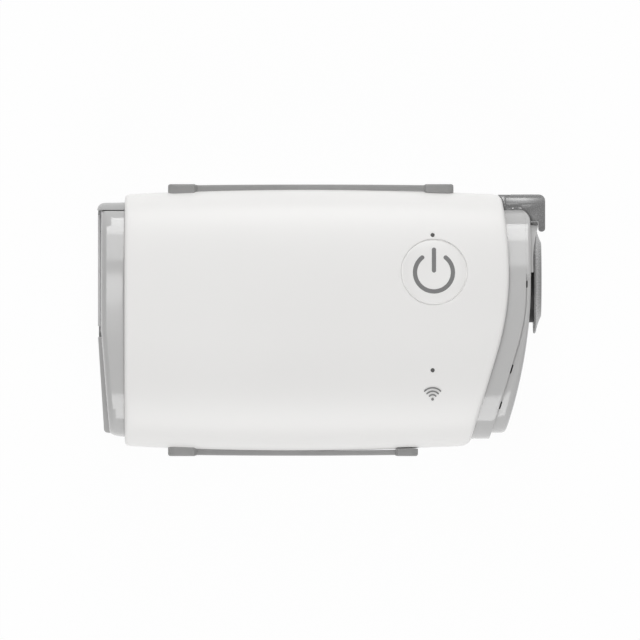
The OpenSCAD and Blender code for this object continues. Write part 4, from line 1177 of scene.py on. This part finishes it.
for obj in list(scene.objects):
    if obj.type == "MESH" and "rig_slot" in obj:
        dress(obj, finishes[obj["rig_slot"]])
# Two pieces here carry painted light: the dark strip under the cover's edge is a painted shadow, and the
# pale strip on the panel's rim a painted highlight.
for obj, name in ((power_sign, "sign_ink"), (radio_sign, "sign_ink"), (frame_block, "frame_grey"),
                  (shadow_strip, "gasket_rubber"), (highlight_strip, "bead_grey")):
    dress(obj, finishes[name])
slot_of = {row["node"]: row["material_slot"] for row in frame["record"]["subparts"]}
for name, obj in nodes.items():
    dress(obj, finishes[slot_of[name]])
    shade(obj, 25)
print("CAD nodes dressed:", len(nodes))

# %% [markdown]
# ## The set
#
# The ground in the picture is white. More light would bleach the machine, so the floor is a real
# surface with a faint shadow, and only rays from the camera, from a mirror or through glass see it
# as a white glow.

# %% Floor and surroundings
WHITE = (1.0, 1.0, 1.0, 1.0)
SHADOW_SHARE, AIR_LEVEL = 0.035, 0.35


def seen_directly(f):
    share = 0.0
    for kind in ("Camera", "Glossy", "Transmission"):
        ray = f.node("LightPath", out=f"Is {kind} Ray")
        share = ray.math("MAXIMUM", ray, share)
    return share


floor = mesh_object("studio_floor", block((-900, -900, -4), (900, 900, 0)))
f = Finish("studio_floor")
matt = f.node("BsdfDiffuse", {}, {"Color": grey(238)})
glow = f.node("Emission", {}, {"Color": WHITE, "Strength": 1.0})
mix = f.node("MixShader", {}, {0: seen_directly(f) * (1 - SHADOW_SHARE), 1: matt, 2: glow})
dress(floor, f.close(mix))
floor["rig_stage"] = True

scene.world = bpy.data.worlds.new("studio_air")
air = Finish("studio_air", scene.world)
dim, bright = (air.node("Background", {}, {"Color": WHITE, "Strength": level})
               for level in (AIR_LEVEL, 1.0))
air.close(air.node("MixShader", {}, {0: seen_directly(air), 1: dim, 2: bright}), "OutputWorld")
print("floor and air: shadow", SHADOW_SHARE, "and air at", AIR_LEVEL)

# %% [markdown]
# ## Lamps
#
# The glossy ends are curved mirrors, and a face that leans by some degrees mirrors a lamp at twice
# that lean, so their bright bands tell where the lamps stood: a wide box behind with a brighter
# strip under it, a box in front, and a small one nearly overhead that only the filter cover
# mirrors. Their level makes a colour render about as it is written.

# %% Soft boxes
# Each lamp is a name, the leans that it fills from low to high in degrees towards the back
# (minus: the front), its width in metres, its radiance and its lean aside
LAMPS = [("back_strip", 52, 87, 0.34, 6.9, 0), ("back_box", 23, 52, 0.34, 3.2, 0),
         ("front_box", -79, -37, 0.55, 4.25, 0), ("overhead_left", 1, 15, 0.3, 4.2, -9.5)]
MIDDLE, REACH = array([0.0, 0.0, mid_z * MM]), 1.25


def soft_box(name, low, high, width, radiance, aside):
    lean, aside = radians((low + high) / 2), radians(aside)
    height = 2 * REACH * math.tan(radians(high - low) / 2)
    data = bpy.data.lights.new(name, "AREA")
    data.shape, data.size, data.size_y = "RECTANGLE", width, height
    data.energy = radiance * math.pi * width * height
    lamp = in_scene(name, data)
    toward = array([sin(aside), cos(aside) * sin(lean), cos(aside) * cos(lean)])
    lamp.location = MIDDLE + REACH * toward
    lamp.rotation_euler = Vector(-toward).to_track_quat("-Z", "Y").to_euler()
    lamp.visible_camera = False
    print(f"{name}: {data.energy:.1f} W over {width:.2f} x {height:.2f} m")


for lamp in LAMPS:
    soft_box(*lamp)

# %% [markdown]
# ## Camera
#
# A long lens looks straight down. One photograph pixel is 0.305 mm on the machine, and 640 make the
# picture's width. The distance is chosen and the lens follows, so the framing can't drift.

# %% Aim the camera
PICTURE, PIXELS_PER_MM, DISTANCE = 640, 3.28, 4.0
MIDDLE_PX = (321.1, 320.1)
view_width = PICTURE / PIXELS_PER_MM * MM
camera_data = bpy.data.cameras.new("portrait_camera")
camera_data.sensor_width = 36.0
camera_data.lens = camera_data.sensor_width * DISTANCE / view_width
scene.camera = camera = in_scene("portrait_camera", camera_data)
camera.location = ((PICTURE / 2 - MIDDLE_PX[0]) / PIXELS_PER_MM * MM,
                   (MIDDLE_PX[1] - PICTURE / 2) / PIXELS_PER_MM * MM, mid_z * MM + DISTANCE)
scene.view_settings.view_transform = "Standard"
print(f"lens {camera_data.lens:.0f} mm, view {view_width * 1000:.0f} mm wide")

# %% Print the sizes of both boxes and finish
visual_box = [list(corner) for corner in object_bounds()]
for name, box in (("CAD", cad_box), ("dressed", visual_box)):
    print(name, [round((high - low) * 1000, 2) for low, high in zip(*box)], "mm")
